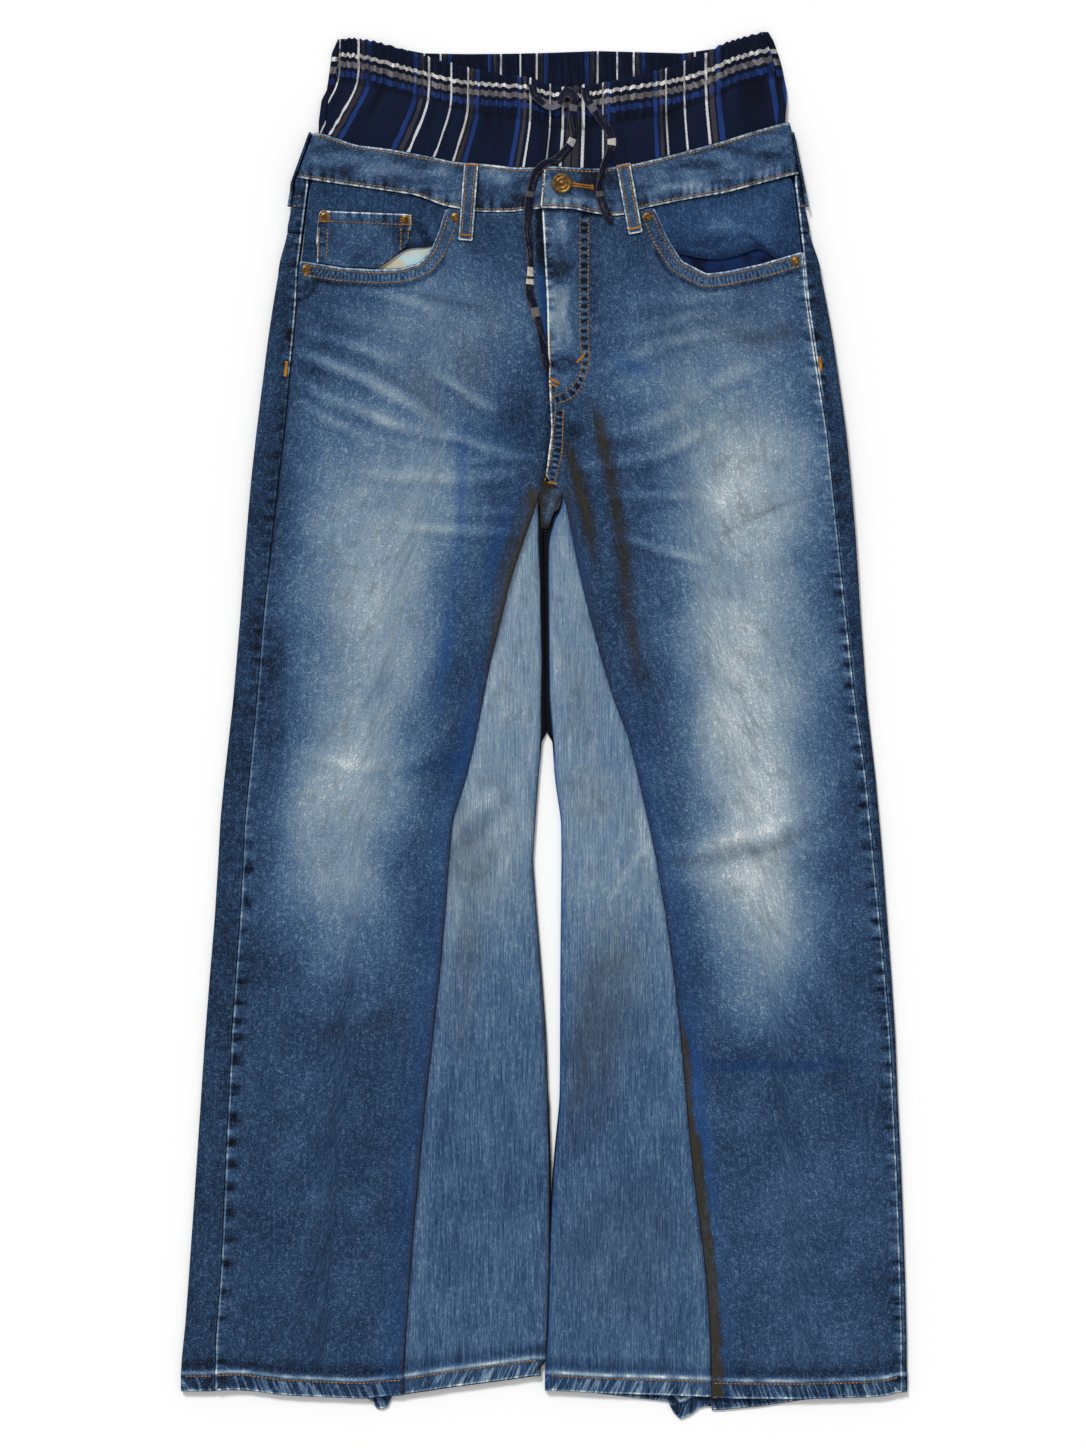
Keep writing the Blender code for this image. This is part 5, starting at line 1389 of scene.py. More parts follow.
def make_coin_pocket():
    """The coin pocket, its lower edge cut off by the pocket opening."""
    name = "coin_pocket"
    span = (-191, -111)
    upper = outline(name, 0, 1, *span, 1)
    lower = outline(name, 0, -1, *span, 1)
    s, t = spread(80, 2.0), spread(44, 2.0)[:, None]
    x = mix(span[0], span[1], s) + 0 * t
    y = mix(upper(x), lower(x), t)
    gap_top, gap_left, gap_right = abs(y - upper(x)), x - span[0], span[1] - x
    tone = 0.31 + 0.06 * patches(x, y, 13, 95) - 0.14 * pucker(y, gap_left - 4, 8, 5, 96)
    tone -= 0.14 * pucker(y, gap_right - 4, 8, 5, 97) + 0.12 * pucker(x, gap_top - 6, 9, 5, 98)
    edge = nearest_edge((gap_top, x, 1.0, 9), (gap_left, y, 1.1, 9), (gap_right, y, 1.1, 9))
    # Painted shade by the coin pocket's lower right edge
    tone -= 0.16 * blot(x + 121, y - 412, 6, 14)
    z = COIN_LEVEL - 0.35 * bell(np.minimum(gap_left, gap_right), 0.8)
    z = z + 0.35 * bell(gap_top, 4, 4) - 0.4 * bell(gap_top, 1, 9.8)
    shell(name, grid(x, y, z), DENIM, looks_of(tone), edge)


Loop = namedtuple("Loop", "name top_x top_y low_x low_y")
LOOPS = [
    Loop("loop_front_right", -60.9, 472.6, -65.9, 407.4),
    Loop("loop_front_left", 66.3, 471.8, 76.9, 413.3),
]
LOOP_WIDTH = 12.6


def loop_corners(loop):
    top, low = np.array([loop.top_x, loop.top_y]), np.array([loop.low_x, loop.low_y])
    way = (low - top) / np.linalg.norm(low - top)
    side = np.array([-way[1], way[0]]) * LOOP_WIDTH / 2
    return top, low, side, way


def make_front_loop(loop):
    """A strap over the band, bowed off it and sewn down at both ends."""
    top, low, side, _ = loop_corners(loop)
    on_band = FRONT_BAND + BAND / 2 + GAP + STRAP / 2
    on_front = FRONT_HIP + DENIM / 2 + GAP + STRAP / 2

    def level(t):
        bow = 1.3 * np.sin(math.pi * np.clip(t / 0.7, 0, 1)) ** 0.8
        return mix(on_band, on_front, ramp(t, 0.66, 0.84)) + bow + 0.5 * bell(t, 0.03, 0.96)

    corners = (top - side, top + side, low + side, low - side)
    strap(loop.name, corners, level, 1.4, 0.34, (0.6, 0.95, 1.3, 0.95), 0.05)


def make_back_loop():
    left, right = CENTRE_X + LOOP_WIDTH / 2, CENTRE_X - LOOP_WIDTH / 2
    corners = ((left, 511.0), (right, 511.0), (right, 446.0), (left, 446.0))
    level = lambda t: STRAP / 2 + 0.7
    strap("loop_back", corners, level, 2.2, 0.32, (0.6, 0.9, 0.9, 0.9), 0.0)


def make_back_pocket(way):
    """A five-sided back pocket; its panel narrows to a point below."""
    name = "back_pocket_" + SIDES[way]
    rows = spread(132, 3.0)
    y = mix(376.0, 244.0, rows)
    outer = np.interp(y, [244, 270, 376], [114, 172, 178])
    inner = np.interp(y, [244, 270, 376], [110, 52, 44])
    share = spread(130, 3.2)
    x = way * mix(outer[:, None], inner[:, None], share)
    y = y[:, None] + 0 * x
    gap_top = 376 - y
    gap_side = np.minimum(abs(x - way * outer[:, None]), abs(x - way * inner[:, None]))
    edge = nearest_edge((gap_top, x, 0.9, 12.0), (gap_side, y, 0.9, 7.0))
    tone = 0.33 + 0.05 * patches(x, y, 22, 100 + way) + 0.12 * blot(abs(x) - 110, y - 320, 45, 40)
    z = STRAP / 2 + 0.3 + 0.2 * bell(np.minimum(gap_top, gap_side), 0.8)
    shell(name, grid(x, y, z), STRAP, looks_of(tone), edge)


def make_side_loop(way):
    """A strap round the band's side fold."""
    name = "loop_side_" + SIDES[way]
    middle = (FRONT_BAND + BACK_BAND) / 2
    radius = (FRONT_BAND - BACK_BAND) / 2 + BAND / 2 + GAP + STRAP / 2
    index = 0 if way == RIGHT else 1
    low, high = BAND_CORNERS["low"][index], BAND_CORNERS["high"][index]
    y = mix(498.5, 437.0, spread(61, 2.4))
    outer = 1.6 * way + mix(low.x, high.x, (y - low.y) / (high.y - low.y))
    outer = np.where(y < 461, way * np.minimum(way * outer, way * OUTER[way](y) + 2.2), outer)
    centre = outer - way * (radius - GAP - STRAP / 2)
    turns = np.concatenate([np.linspace(0.75, math.pi, 12), [math.pi + 0.9]])
    flat = np.clip(turns - math.pi, 0, 1)
    turn = np.clip(turns, 0, math.pi)
    x = centre[:, None] + way * radius * np.sin(turn) - way * 10.0 * flat
    z = middle + radius * np.cos(turn)
    column = np.arange(len(turns))
    gap = np.minimum(column, column[::-1]) * 1.2 + 0.8 + 0 * x
    ends = np.minimum(abs(y - y[0]), abs(y - y[-1]))[:, None] + 0 * x
    edge = nearest_edge((gap, y[:, None], 0.3, 3.0), (ends, x, 0.8, 3.0))
    # Painted shade: the loop is dark down to its lower end, which is lighter
    looks = looks_of(0.08 + 0.3 * ramp(y, 450, 445)[:, None] + 0 * x)
    shell(name, grid(x, y[:, None], z), STRAP, looks, edge)


# Edges of the gusset: Y, and X of the wearer's right and left edge
GUSSET = [
    (206, -1, 8), (199, -2.6, 14.8), (194, -3.9, 15.4),
    (182, -3.1, 9.6), (174, -3.0, 6.0), (166, -2.4, 3.8),
]
GUSSET_LOW = 168.5


def make_gusset():
    """A tongue of pale cloth between the legs, folded at its lower end."""
    at, right, left = (np.array(part, dtype=float) for part in zip(*GUSSET))
    y_top = np.concatenate([np.linspace(206, 183, 14), np.linspace(181.5, GUSSET_LOW, 9)])
    right, left = np.interp(-y_top, -at, right), np.interp(-y_top, -at, left)
    top, low = float(front_level(0.0, GUSSET_LOW)), float(back_level(GUSSET_LOW))
    turns = np.linspace(0, math.pi, 9)[1:-1]
    half, middle = (top - low) / 2, (top + low) / 2
    y = np.concatenate([y_top, GUSSET_LOW - 0.7 * half * np.sin(turns), y_top[::-1]])[:, None]
    upper = front_level(0 * y_top, y_top) - 0.9 * ramp(y_top, 197, 200)
    z = np.concatenate([upper, middle + half * np.cos(turns), back_level(y_top[::-1])])[:, None]
    right, left = (
        np.concatenate([side, np.full(len(turns), side[-1]), side[::-1]])[:, None]
        for side in (right, left)
    )
    x = mix(right, left, spread(16, 1.6, np.array([0, 0.7])))
    y = y + 0 * x
    # Painted shade at the gusset's top, at its lower fold, along its edges and towards its wearer's
    # right edge
    tone = 0.3 + 0.12 * patches(x, y, 6, 111) - 0.3 * ramp(y, 174, 167) - 0.4 * ramp(y, 199.5, 201)
    tone -= 0.4 * ramp(x, right + 2.4, right + 0.6) + 0.12 * ramp(x, left - 4, left - 1)
    tone -= 0.2 * ramp(x, mix(right, left, 0.6), mix(right, left, 0.25))
    looks = looks_of(tone, 0.6, darkest=-0.3)
    points = grid(x, y, z - 0.25 + 0.2 * patches(x, y, 5, 110))
    shell("crotch_gusset", points, DENIM, looks)


# ---------------------------------------------------------------- plaid waist

PLAID_DEPTH = 80.0
PLAID_LOW_Y = 470.0
FAN_CENTRE = 47.0
CASING = 36.0
PALE, GREY, ROYAL = (216, 217, 218), (128, 124, 126), (32, 58, 120)
NAVY, DARK, SMOKE = (13, 23, 47), (7, 10, 22), (60, 57, 62)
CHECK_ACROSS = [
    (0.0, PALE), (0.008, DARK), (0.02, NAVY), (0.145, DARK), (0.161, PALE), (0.182, DARK),
    (0.198, SMOKE), (0.234, DARK), (0.25, ROYAL), (0.288, NAVY), (0.667, ROYAL),
    (0.705, DARK), (0.724, SMOKE), (0.76, DARK), (0.79, PALE), (0.811, DARK),
    (0.828, NAVY), (0.98, DARK), (0.993, PALE),
]
CHECK_DOWN = [
    (0.0, NAVY), (10.8, DARK), (12.4, (236, 234, 230)), (15.4, DARK), (19.2, GREY),
    (24.0, DARK), (27.2, ROYAL), (32.0, NAVY),
]
# Top edge of the front casing, from one side fold to the other
FRONT_TOP = [
    (-178, 566), (-172, 575.5), (-166, 579), (-145, 576.5), (-123, 570.2), (-102, 564.2),
    (-85, 559.5), (-67, 554.2), (-50, 550.8), (-33, 547.6), (-12, 545.5), (2, 540), (20, 537),
    (35, 539), (52, 541.5), (78, 546.6), (95, 550.8), (115, 557.4), (134, 565), (153, 574.6),
    (171, 580), (186, 583.6), (192, 580), (197, 568),
]
# X of places in the front and back casing, and the check's phase there, as the gathers set it
FRONT_PHASE = [
    (-236, -0.6), (-172.2, 0), (-78.1, 1), (5, 2), (15.1, 2.17), (24.4, 2.24), (33.6, 2.17),
    (40.3, 2.1), (49.6, 2.17), (54.6, 2.28), (93.2, 2.68), (117.6, 3), (190, 3.68), (240, 4.1),
]
BACK_PHASE = [(-200, -2.4), (-101, -1), (-20.2, 0), (61.3, 1), (143, 2), (220, 2.9)]

# X of the plaid's side folds by height
PlaidSide = namedtuple("PlaidSide", "y right left")
PLAID_SIDES = rows_of(PlaidSide, [
    (477, -189.6, 201.5), (508, -189.2, 202.6), (526, -187.0, 204.2), (535, -182.6, 204.0),
    (556, -179.6, 199.8), (566, -178.4, 196.8), (577, -173.5, 192.8), (584, -168.0, 188.5),
])


def plaid_side(way, y):
    across = [side.right if way == RIGHT else side.left for side in PLAID_SIDES]
    return np.interp(y, [side.y for side in PLAID_SIDES], across)


def fanned(x, depth):
    """Where a thread under the casing comes from: the stripes fan out below it."""
    below = np.clip(depth - 26, 0, 60)
    below = np.where(below < 20, below**2 / 40, below - 10)
    return x - (x - FAN_CENTRE) * np.where(x < FAN_CENTRE, 0.14, 0.06) * below / 60


def ruffles(x, seed):
    """The casing's ruffles, from -1 in a hollow to 1 on a crest."""
    return np.cos(2 * math.pi * (x / RUFFLE + 0.55 * patches(x, 0, 17, seed)))


def gathers(x, depth, seed):
    """Height of the casing's ruffles and of the soft folds below, and the painted shade in both and
    under the casing's seam.
    """
    inside = ramp(depth, 0, 4) * ramp(depth, CASING + 2, CASING - 3)
    ruffle = ruffles(x, seed) * (0.7 + 0.5 * patches(x, 0, 11, seed + 1))
    below = ramp(depth, CASING - 3, CASING + 3)
    fading = mix(1.0, 0.5, ramp(depth, CASING + 6, CASING + 34))
    spot = fanned(x, depth)
    long_folds = patches(spot, depth * 0.12, 7.5, seed + 2)
    long_folds += 0.6 * patches(spot, depth * 0.2, 3.6, seed + 3)
    seam = bell(depth, 1.5, CASING)
    fine = np.cos(2 * math.pi * (x / 2.9 + 0.8 * patches(x, 0, 8, seed + 4)))
    height = inside * (0.6 * ruffle + 0.25 * fine) + 0.9 * below * long_folds * fading - 0.8 * seam
    # Painted shade in the hollows of the ruffles and of the folds below, and under the casing's
    # seam
    dark = inside * np.clip(0.14 - 0.36 * ruffle - 0.22 * fine, 0, 1)
    dark = dark + below * fading * np.clip(0.1 - 0.6 * long_folds, 0, 1)
    return height, dark + 0.45 * seam, inside


def plaid_piece(name, points, depth, chart, seed):
    x = points[..., 0]
    lift, shade, inside = gathers(x, depth, seed)
    tucked = ramp(points[..., 1], 500, 478)
    if name == "plaid_front":
        size = 1.0
    else:
        size = np.where(points[..., 2] > 3.0, 0.5, 0.35)
    points[..., 2] = np.maximum(points[..., 2] + lift * size * (1 - tucked), PLAID / 2)
    if name == "plaid_front":
        pulled = depth + 6.0 * blot(x - 25, 0, 85, 1, 2)
    else:
        pulled = depth + 60 * (points[..., 2] < 2.5) * ramp(abs(x), 160, 150)
    looks = grid(np.clip(shade, 0, 0.85), inside + 0.15, 0)
    cloth = grid(through(fanned(x, depth), chart), -pulled)
    piece = shell(name, points, PLAID, looks, None, "plaid", cloth)
    store_grid(piece, "flat", flat_places(points))


def plaid_level(y, front):
    start, end = (3.0, 5.9) if front else (0.5, 4.5)
    lead = 9.0 if front else 0.0
    return mix(start, end, np.clip((535 + lead - y) / 23, 0, 1))


FRONT_SEED, BACK_SEED = 200, 220


def make_plaid():
    """The elastic waist's upper and under layer, joined near both side folds."""
    back_top = outline("plaid_back", 0, 1, -177, 195, 2)
    rows = spread(100, 2.2)[:, None]
    share = spread(360, 1.05)
    x_top = mix(plaid_side(RIGHT, 577.0) + 6.2, plaid_side(LEFT, 582.0) - 6.2, share)
    top = smooth(through(x_top, FRONT_TOP), 3)
    top = top + 0.7 * ruffles(x_top, FRONT_SEED)
    band = BAND_HIGH_Y(np.clip(x_top, -194, 206)) - 20
    y = mix(top, band, rows)
    left = plaid_side(LEFT, y[:, -1]) - 6.2
    right = plaid_side(RIGHT, y[:, 0]) + 6.2
    x = mix(right[:, None], left[:, None], share)
    points = grid(x, y, plaid_level(y, True))
    plaid_piece("plaid_front", points, top - y, FRONT_PHASE, FRONT_SEED)

    # The under layer: a strip on top and the fold at each side, and the part below
    sides = []
    for way, seam, y_side in ((RIGHT, right, y[:, 0]), (LEFT, left, y[:, -1])):
        seam = seam + 0.3 * way
        levels = plaid_level(y_side, True), plaid_level(y_side, False)
        fold = plaid_side(way, y_side)
        x_side, z_side, _, _ = folded(seam, fold, *levels, PLAID, way, seam, (2, 9, 0))
        sides.append(grid(x_side, y_side[:, None], z_side))
    flat = np.linspace(0, 1, 150)[1:-1]
    start, end = sides[0][:, -1:], sides[1][:, -1:]
    x_flat = mix(start[..., 0], end[..., 0], flat)
    low = PLAID_LOW_Y + 8 * np.sin(math.pi * np.clip((x_flat + 194) / 401, 0, 1)) + 8
    y_flat = mix(back_top(x_flat), low, rows)
    ends = np.minimum(flat, 1 - flat) * 360
    y_flat = mix(mix(start[..., 1], end[..., 1], flat), y_flat, ramp(ends, 0, 10))
    below = grid(x_flat, y_flat, plaid_level(y_flat, False))
    points = np.concatenate([sides[0], below, sides[1][:, ::-1]], axis=1)
    depth = rows * 88 + 0 * points[..., 0]
    plaid_piece("plaid_back", points, depth, BACK_PHASE, BACK_SEED)


# ---------------------------------------------------------------- thread and metal

STITCH = 2.95
PITCH = 3.3
CLOSE_PITCH = 2.9
THREAD, UNDER_THREAD = 0.6, 0.3  # radii of the upper side's stitches and the underside's


def capsule(a, b, radius, up):
    """Ten points and the faces of a stitch from a to b."""
    way = b - a
    length = way.length
    way = way / length
    side = way.cross(up).normalized()
    rise = side.cross(way)
    rings = []
    for share in (0.18, 0.82):
        centre = a + way * length * share + rise * radius * 0.5
        rings += [centre + out * radius for out in (side, rise, -side, -rise)]
    verts = [a - rise * radius * 0.4] + rings + [b - rise * radius * 0.4]
    faces = [(0, 1 + k, 1 + (k + 1) % 4) for k in range(4)]
    faces += [(1 + k, 5 + k, 5 + (k + 1) % 4, 1 + (k + 1) % 4) for k in range(4)]
    faces += [(9, 5 + (k + 1) % 4, 5 + k) for k in range(4)]
    return verts, faces


class Stitching:
    """Stitches gathered for one joined mesh."""

    def __init__(self, thread=THREAD):
        self.verts, self.faces, self.thread = [], [], thread

    def stitch(self, a, b, radius, up):
        verts, faces = capsule(a, b, radius, up)
        start = len(self.verts)
        self.verts += [tuple(v) for v in verts]
        self.faces += [tuple(start + i for i in face) for face in faces]

    def row(self, line, names, side=1, pitch=PITCH):
        """Running stitches along a line, each laid on the outermost named piece."""
        line = even(line, pitch)
        for a, b in zip(line, line[1:]):
            way = (b - a) / max(np.linalg.norm(b - a), 1e-6)
            first, last = on_cloth(names, *a, side), on_cloth(names, *(a + way * STITCH), side)
            if first and last:
                self.stitch(first[0], last[0], self.thread, first[1])

    def follow(self, curve, start, end, shift, names, side=1, step=3.0):
        """A row beside a curve that gives Y for X."""
        x = np.arange(start, end, step)
        self.row(np.stack([x, curve(x) + shift], axis=1), names, side)

    def tack(self, start, end, width, names, side=1, radius=0.42, pitch=0.75):
        """A bar tack: close stitches across a short line."""
        line = even([start, end], pitch)
        way = np.array(end, dtype=float) - np.array(start, dtype=float)
        cross = np.array([-way[1], way[0]]) / np.linalg.norm(way) * width / 2
        for spot in line:
            first = on_cloth(names, *(spot - cross), side)
            last = on_cloth(names, *(spot + cross), side)
            if first and last:
                rise = first[1] * 0.25
                self.stitch(first[0] + rise, last[0] + rise, radius, first[1])

    def done(self, name, material):
        new_piece(name, self.verts, self.faces, MATERIALS[material])


# Rows of stitches through points: the fly's two, and the two down to the fork
FLY_ROWS = [
    [(37.4, 427), (37.2, 380), (37.2, 325), (38, 312), (34, 291), (25, 277), (8.6, 269.5)],
    [(30.4, 427), (30.4, 380), (30.6, 325), (32.2, 312), (30.4, 296), (22, 283.4), (5.8, 275.4)],
]
FORK_ROWS = [
    [(10.2, 268), (8.1, 249), (6.4, 229), (2.8, 213), (0.6, 206)],
    [(16.4, 266), (15.7, 249), (15.2, 232), (12.0, 215.5), (9.2, 205.5)],
]
TOP_HEMS = [
    ("front_right", HEM_FRONT, -274, -119), ("godet_right", HEM_GODET, -116, -4),
    ("godet_left", HEM_GODET, 6, 139), ("front_left", HEM_FRONT, 143, 299),
    ("back_right", HEM_BACK, -301, -278),
]
# Bar tacks: start, end, width and the pieces under them
TACKS = [
    ((28, 305.5), (34.2, 312.4), 2.2, ["front_left"]),
    ((3.6, 292.6), (13, 287.6), 2.6, ["front_left"]),
    ((4.2, 288.6), (11, 284.6), 1.6, ["front_left"]),
    ((4.0, 204.9), (10.2, 203.4), 2.2, ["front_right", "front_left", "crotch_gusset"]),
    ((-215.6, 306), (-217.0, 294), 3.2, ["back_right"]),
    ((231.4, 310), (232.6, 299), 3.2, ["back_left"]),
]


def add_top_stitches():
    """All thread on the upper side."""
    tan, bright = Stitching(), Stitching()
    for name, curve, start, end in TOP_HEMS:
        way = RIGHT if name.endswith("right") else LEFT
        tan.follow(curve[way], start, end, HEM_STITCH, [name], step=2.0)
    band = ["waistband"]
    for start, end in ((-205, 3), (3, 212)):
        tan.follow(BAND_LOW_Y, start, end, 2.6, band)
    tan.follow(BAND_HIGH_Y, -190, 203, -3.0, band)
    lap = mix(BAND_CORNERS["low"][0].x, BAND_CORNERS["low"][1].x, LAP_START)
    tan.row([(lap + 3, BAND_LOW_Y(lap) + 3), (lap + 3, BAND_HIGH_Y(lap) - 4)], band)
    for way, start, end in ((RIGHT, -204.5, -82.6), (LEFT, 92.6, 215.5)):
        x = np.arange(start, end, 1.0)
        line = even(np.stack([x, TOP[way](x)], axis=1), 1.5)
        for distance in (-3.2, -11.4):
            tan.row(beside(line, distance), ["front_" + SIDES[way]])
    for line in FLY_ROWS:
        tan.row(along(line, 2.0), ["front_left"])
    for line in FORK_ROWS:
        tan.row(along(line, 2.0), ["front_right", "front_left"], pitch=CLOSE_PITCH)
    y = np.arange(330, 268, -2.0)
    tan.row(np.stack([FLY(y) + 2.0, y], axis=1), ["front_left"])
    for tack in TACKS:
        bright.tack(*tack)
    for loop in LOOPS:
        top, low, side, way = loop_corners(loop)
        inner = side * (1 - 3.0 / (LOOP_WIDTH / 2))
        for edge in (-inner, inner):
            line = [top + edge + way * 1.5, low + edge - way * 4]
            tan.row(line, [loop.name], pitch=CLOSE_PITCH)
        for middle, share, width in ((top + way * 1.6, 0.8, 1.8), (low - way * 4.4, 0.85, 2.0)):
            bright.tack(middle - side * share, middle + side * share, width, [loop.name])
    coin = ["coin_pocket"]
    tan.row([(-189, 424.2), (-112.5, 420.8)], coin)
    for x in (-188.6, -181.5, -113.6, -119.8):
        tan.row([(x, 418), (x - 0.8, 393)], coin)
    for rivet in RIVETS:
        if "coin" in rivet.name:
            for k in range(5):
                y = rivet.y - 4.4 + 2.2 * k
                bright.tack((rivet.x - 4.6, y), (rivet.x + 4.6, y), 1.4, coin, radius=0.3)
    for way, wearer in SIDES.items():
        x = SEAM[way](430.0) + 6 * way
        for y in (444.6, 436.8):
            tan.row([(x - 4, y), (x + 4, y)], ["yoke_" + wearer, "loop_side_" + wearer])
    add_buttonhole(bright)
    tan.done("thread_front", "tan")
    bright.done("thread_tacks", "gold")


def add_buttonhole(threads):
    """Close stitches round the keyhole, from its eye under the button to its end."""
    start, end, y_start, y_end = 21.5, 39.5, 454.6, 452.0

    def sew(inner_spot, outer_spot, rise, radius):
        inner, outer = on_cloth(["waistband"], *inner_spot), on_cloth(["waistband"], *outer_spot)
        if inner and outer:
            inner_end, outer_end = Vector((0, 0, rise)), Vector((0, 0, 0.1))
            threads.stitch(inner[0] + inner_end, outer[0] + outer_end, radius, inner[1])

    for x in np.arange(start, end, 0.7):
        y = y_start - 0.14 * (x - start)
        width = 1.7 + float(ramp(np.array(x), 28, start))
        for sign in (-1, 1):
            sew((x, y + sign * 0.2), (x, y + sign * width), 0.35, 0.36)
    for shift in np.arange(-2.0, 2.1, 0.7):
        sew((end, y_end + 0.1 + shift), (end + 2.4, y_end + shift), 0.3, 0.4)


def add_under_stitches():
    """Thread on the underside: yokes, centre back, back pockets, hems and loop."""
    tan = Stitching(UNDER_THREAD)
    backs = ["back_right", "back_left"]
    for way, wearer in SIDES.items():
        outer = OUTER[way](410.0) - way * 6
        for shift in (2.0, 8.0):
            tan.row([(outer, 413 - shift), (CENTRE_X + way, 387 - shift)], backs, -1)
        pocket = ["back_pocket_" + wearer]
        rim = [(174.5, 366), (168.8, 273.4), (112, 249), (55.2, 273.4), (47.6, 366)]
        line = [(way * x, y) for x, y in rim]
        for part in zip(line, line[1:]):
            tan.row(part, pocket, -1)
        for y in (372.5, 361.0):
            tan.row([(way * 176, y), (way * 46, y)], pocket, -1)
        start, end = (-122, -300) if way == RIGHT else (145, 302)
        name = ["back_" + wearer]
        tan.follow(HEM_BACK[way], start, end, HEM_STITCH, name, -1, 3.0 * way)
    for shift in (2.4, 8.4):
        tan.row([(CENTRE_X + shift, 384), (CENTRE_X + shift, 212)], backs, -1)
    for shift in (-3.4, 3.4):
        tan.row([(CENTRE_X + shift, 508), (CENTRE_X + shift, 449)], ["loop_back"], -1)
    for high, shift in ((False, 2.6), (True, -3.0)):
        tan.follow(lambda x: back_waist(x, high), -196, 202, shift, ["waistband"], -1)
    tan.done("thread_back", "tan")


def lathe(node, profile, spot, count, dents):
    """A turned and slightly dented metal piece from radius and height, top to bottom."""
    name = node + "_cap"
    rings = np.array(profile, dtype=float)
    angle = np.linspace(0, 2 * math.pi, count, endpoint=False)
    rng = np.random.default_rng(len(name))
    verts = [(spot[0], spot[1], rings[0][1])]
    for radius, height in rings[1:-1]:
        bumps = dents * rng.uniform(-1, 1, count)
        for turn, bump in zip(angle, bumps):
            x, y = radius * math.cos(turn), radius * math.sin(turn)
            verts.append((spot[0] + x, spot[1] + y, height + bump))
    verts.append((spot[0], spot[1], rings[-1][1]))
    last, faces = len(verts) - 1, []
    for k in range(count):
        n = (k + 1) % count
        faces.append((0, 1 + k, 1 + n))
        for ring in range(len(rings) - 3):
            a, b = 1 + ring * count, 1 + (ring + 1) * count
            faces.append((a + k, b + k, b + n, a + n))
        a = 1 + (len(rings) - 3) * count
        faces.append((a + k, last, a + n))
    piece = new_piece(name, verts, faces, MATERIALS["brass"], [node])
    piece.data.set_sharp_from_angle(angle=math.radians(50))


BUTTON_SPOT = (15.1, 454.9)


def make_button():
    """A jeans button with a raised rim, a ring and a small boss."""
    seat, foot = LAPPED_BAND + BAND / 2 + 0.2, FRONT_BAND + BAND / 2 + GAP
    dome = [
        (0, 3.1), (0.9, 3.05), (1.7, 2.7), (2.2, 2.55), (3.6, 2.6), (4.2, 2.95), (4.7, 2.95),
        (5.2, 2.55), (6.2, 2.6), (6.9, 3.1), (7.5, 3.15), (8.1, 2.85), (8.4, 2.2), (8.3, 1.2),
        (7.9, 0.4), (2.3, 0.1),
    ]
    profile = [(r, seat + h) for r, h in dome] + [(2.3, foot), (0, foot)]
    lathe("button", profile, BUTTON_SPOT, 64, 0.02)


Rivet = namedtuple("Rivet", "name x y radius")
RIVETS = rows_of(Rivet, [
    ("rivet_right_inner", -74.6, 427.0, 3.7),
    ("rivet_right_outer", -199.6, 383.6, 4.2),
    ("rivet_coin_outer", -184.0, 428.2, 3.2),
    ("rivet_coin_inner", -115.9, 425.8, 3.2),
    ("rivet_left_inner", 86.6, 427.6, 3.7),
    ("rivet_left_outer", 211.2, 390.4, 4.2),
])


def make_rivet(rivet):
    seat = (COIN_LEVEL if "coin" in rivet.name else FRONT_HIP) + DENIM / 2 + GAP
    steps = [
        (0, 0.75), (0.12, 0.95), (0.22, 1.35), (0.3, 1.45), (0.38, 1.35), (0.46, 0.95),
        (0.62, 0.75), (0.86, 0.6), (1.0, 0.35), (1.0, 0.0), (0, 0),
    ]
    profile = [(rivet.radius * r, seat + h) for r, h in steps]
    lathe(rivet.name, profile, (rivet.x, rivet.y), 32, 0.03)


# ---------------------------------------------------------------- drawstring


UNDER_TIES = ["plaid_front", "waistband", "front_left", "front_right"]
# Section of a tie: shares of its half width and of its half thickness
TIE_RING = [
    (-1, 0), (-0.85, 0.8), (-0.4, 1), (0, 0.85), (0.4, 1), (0.85, 0.8), (1, 0),
    (0.85, -0.8), (0, -1), (-0.85, -0.8),
]
# Turns of the ties about their length: share of the run, degrees
ROLLS_RIGHT = [
    (0, 20), (0.1, 50), (0.2, 10), (0.3, 40), (0.4, 8), (0.5, 20), (0.62, 12), (0.7, 62),
    (0.78, 10), (0.88, 35), (1, 25),
]
ROLLS_LEFT = [(0, 30), (0.2, 8), (0.5, 14), (0.66, 66), (0.78, 20), (1, 10)]


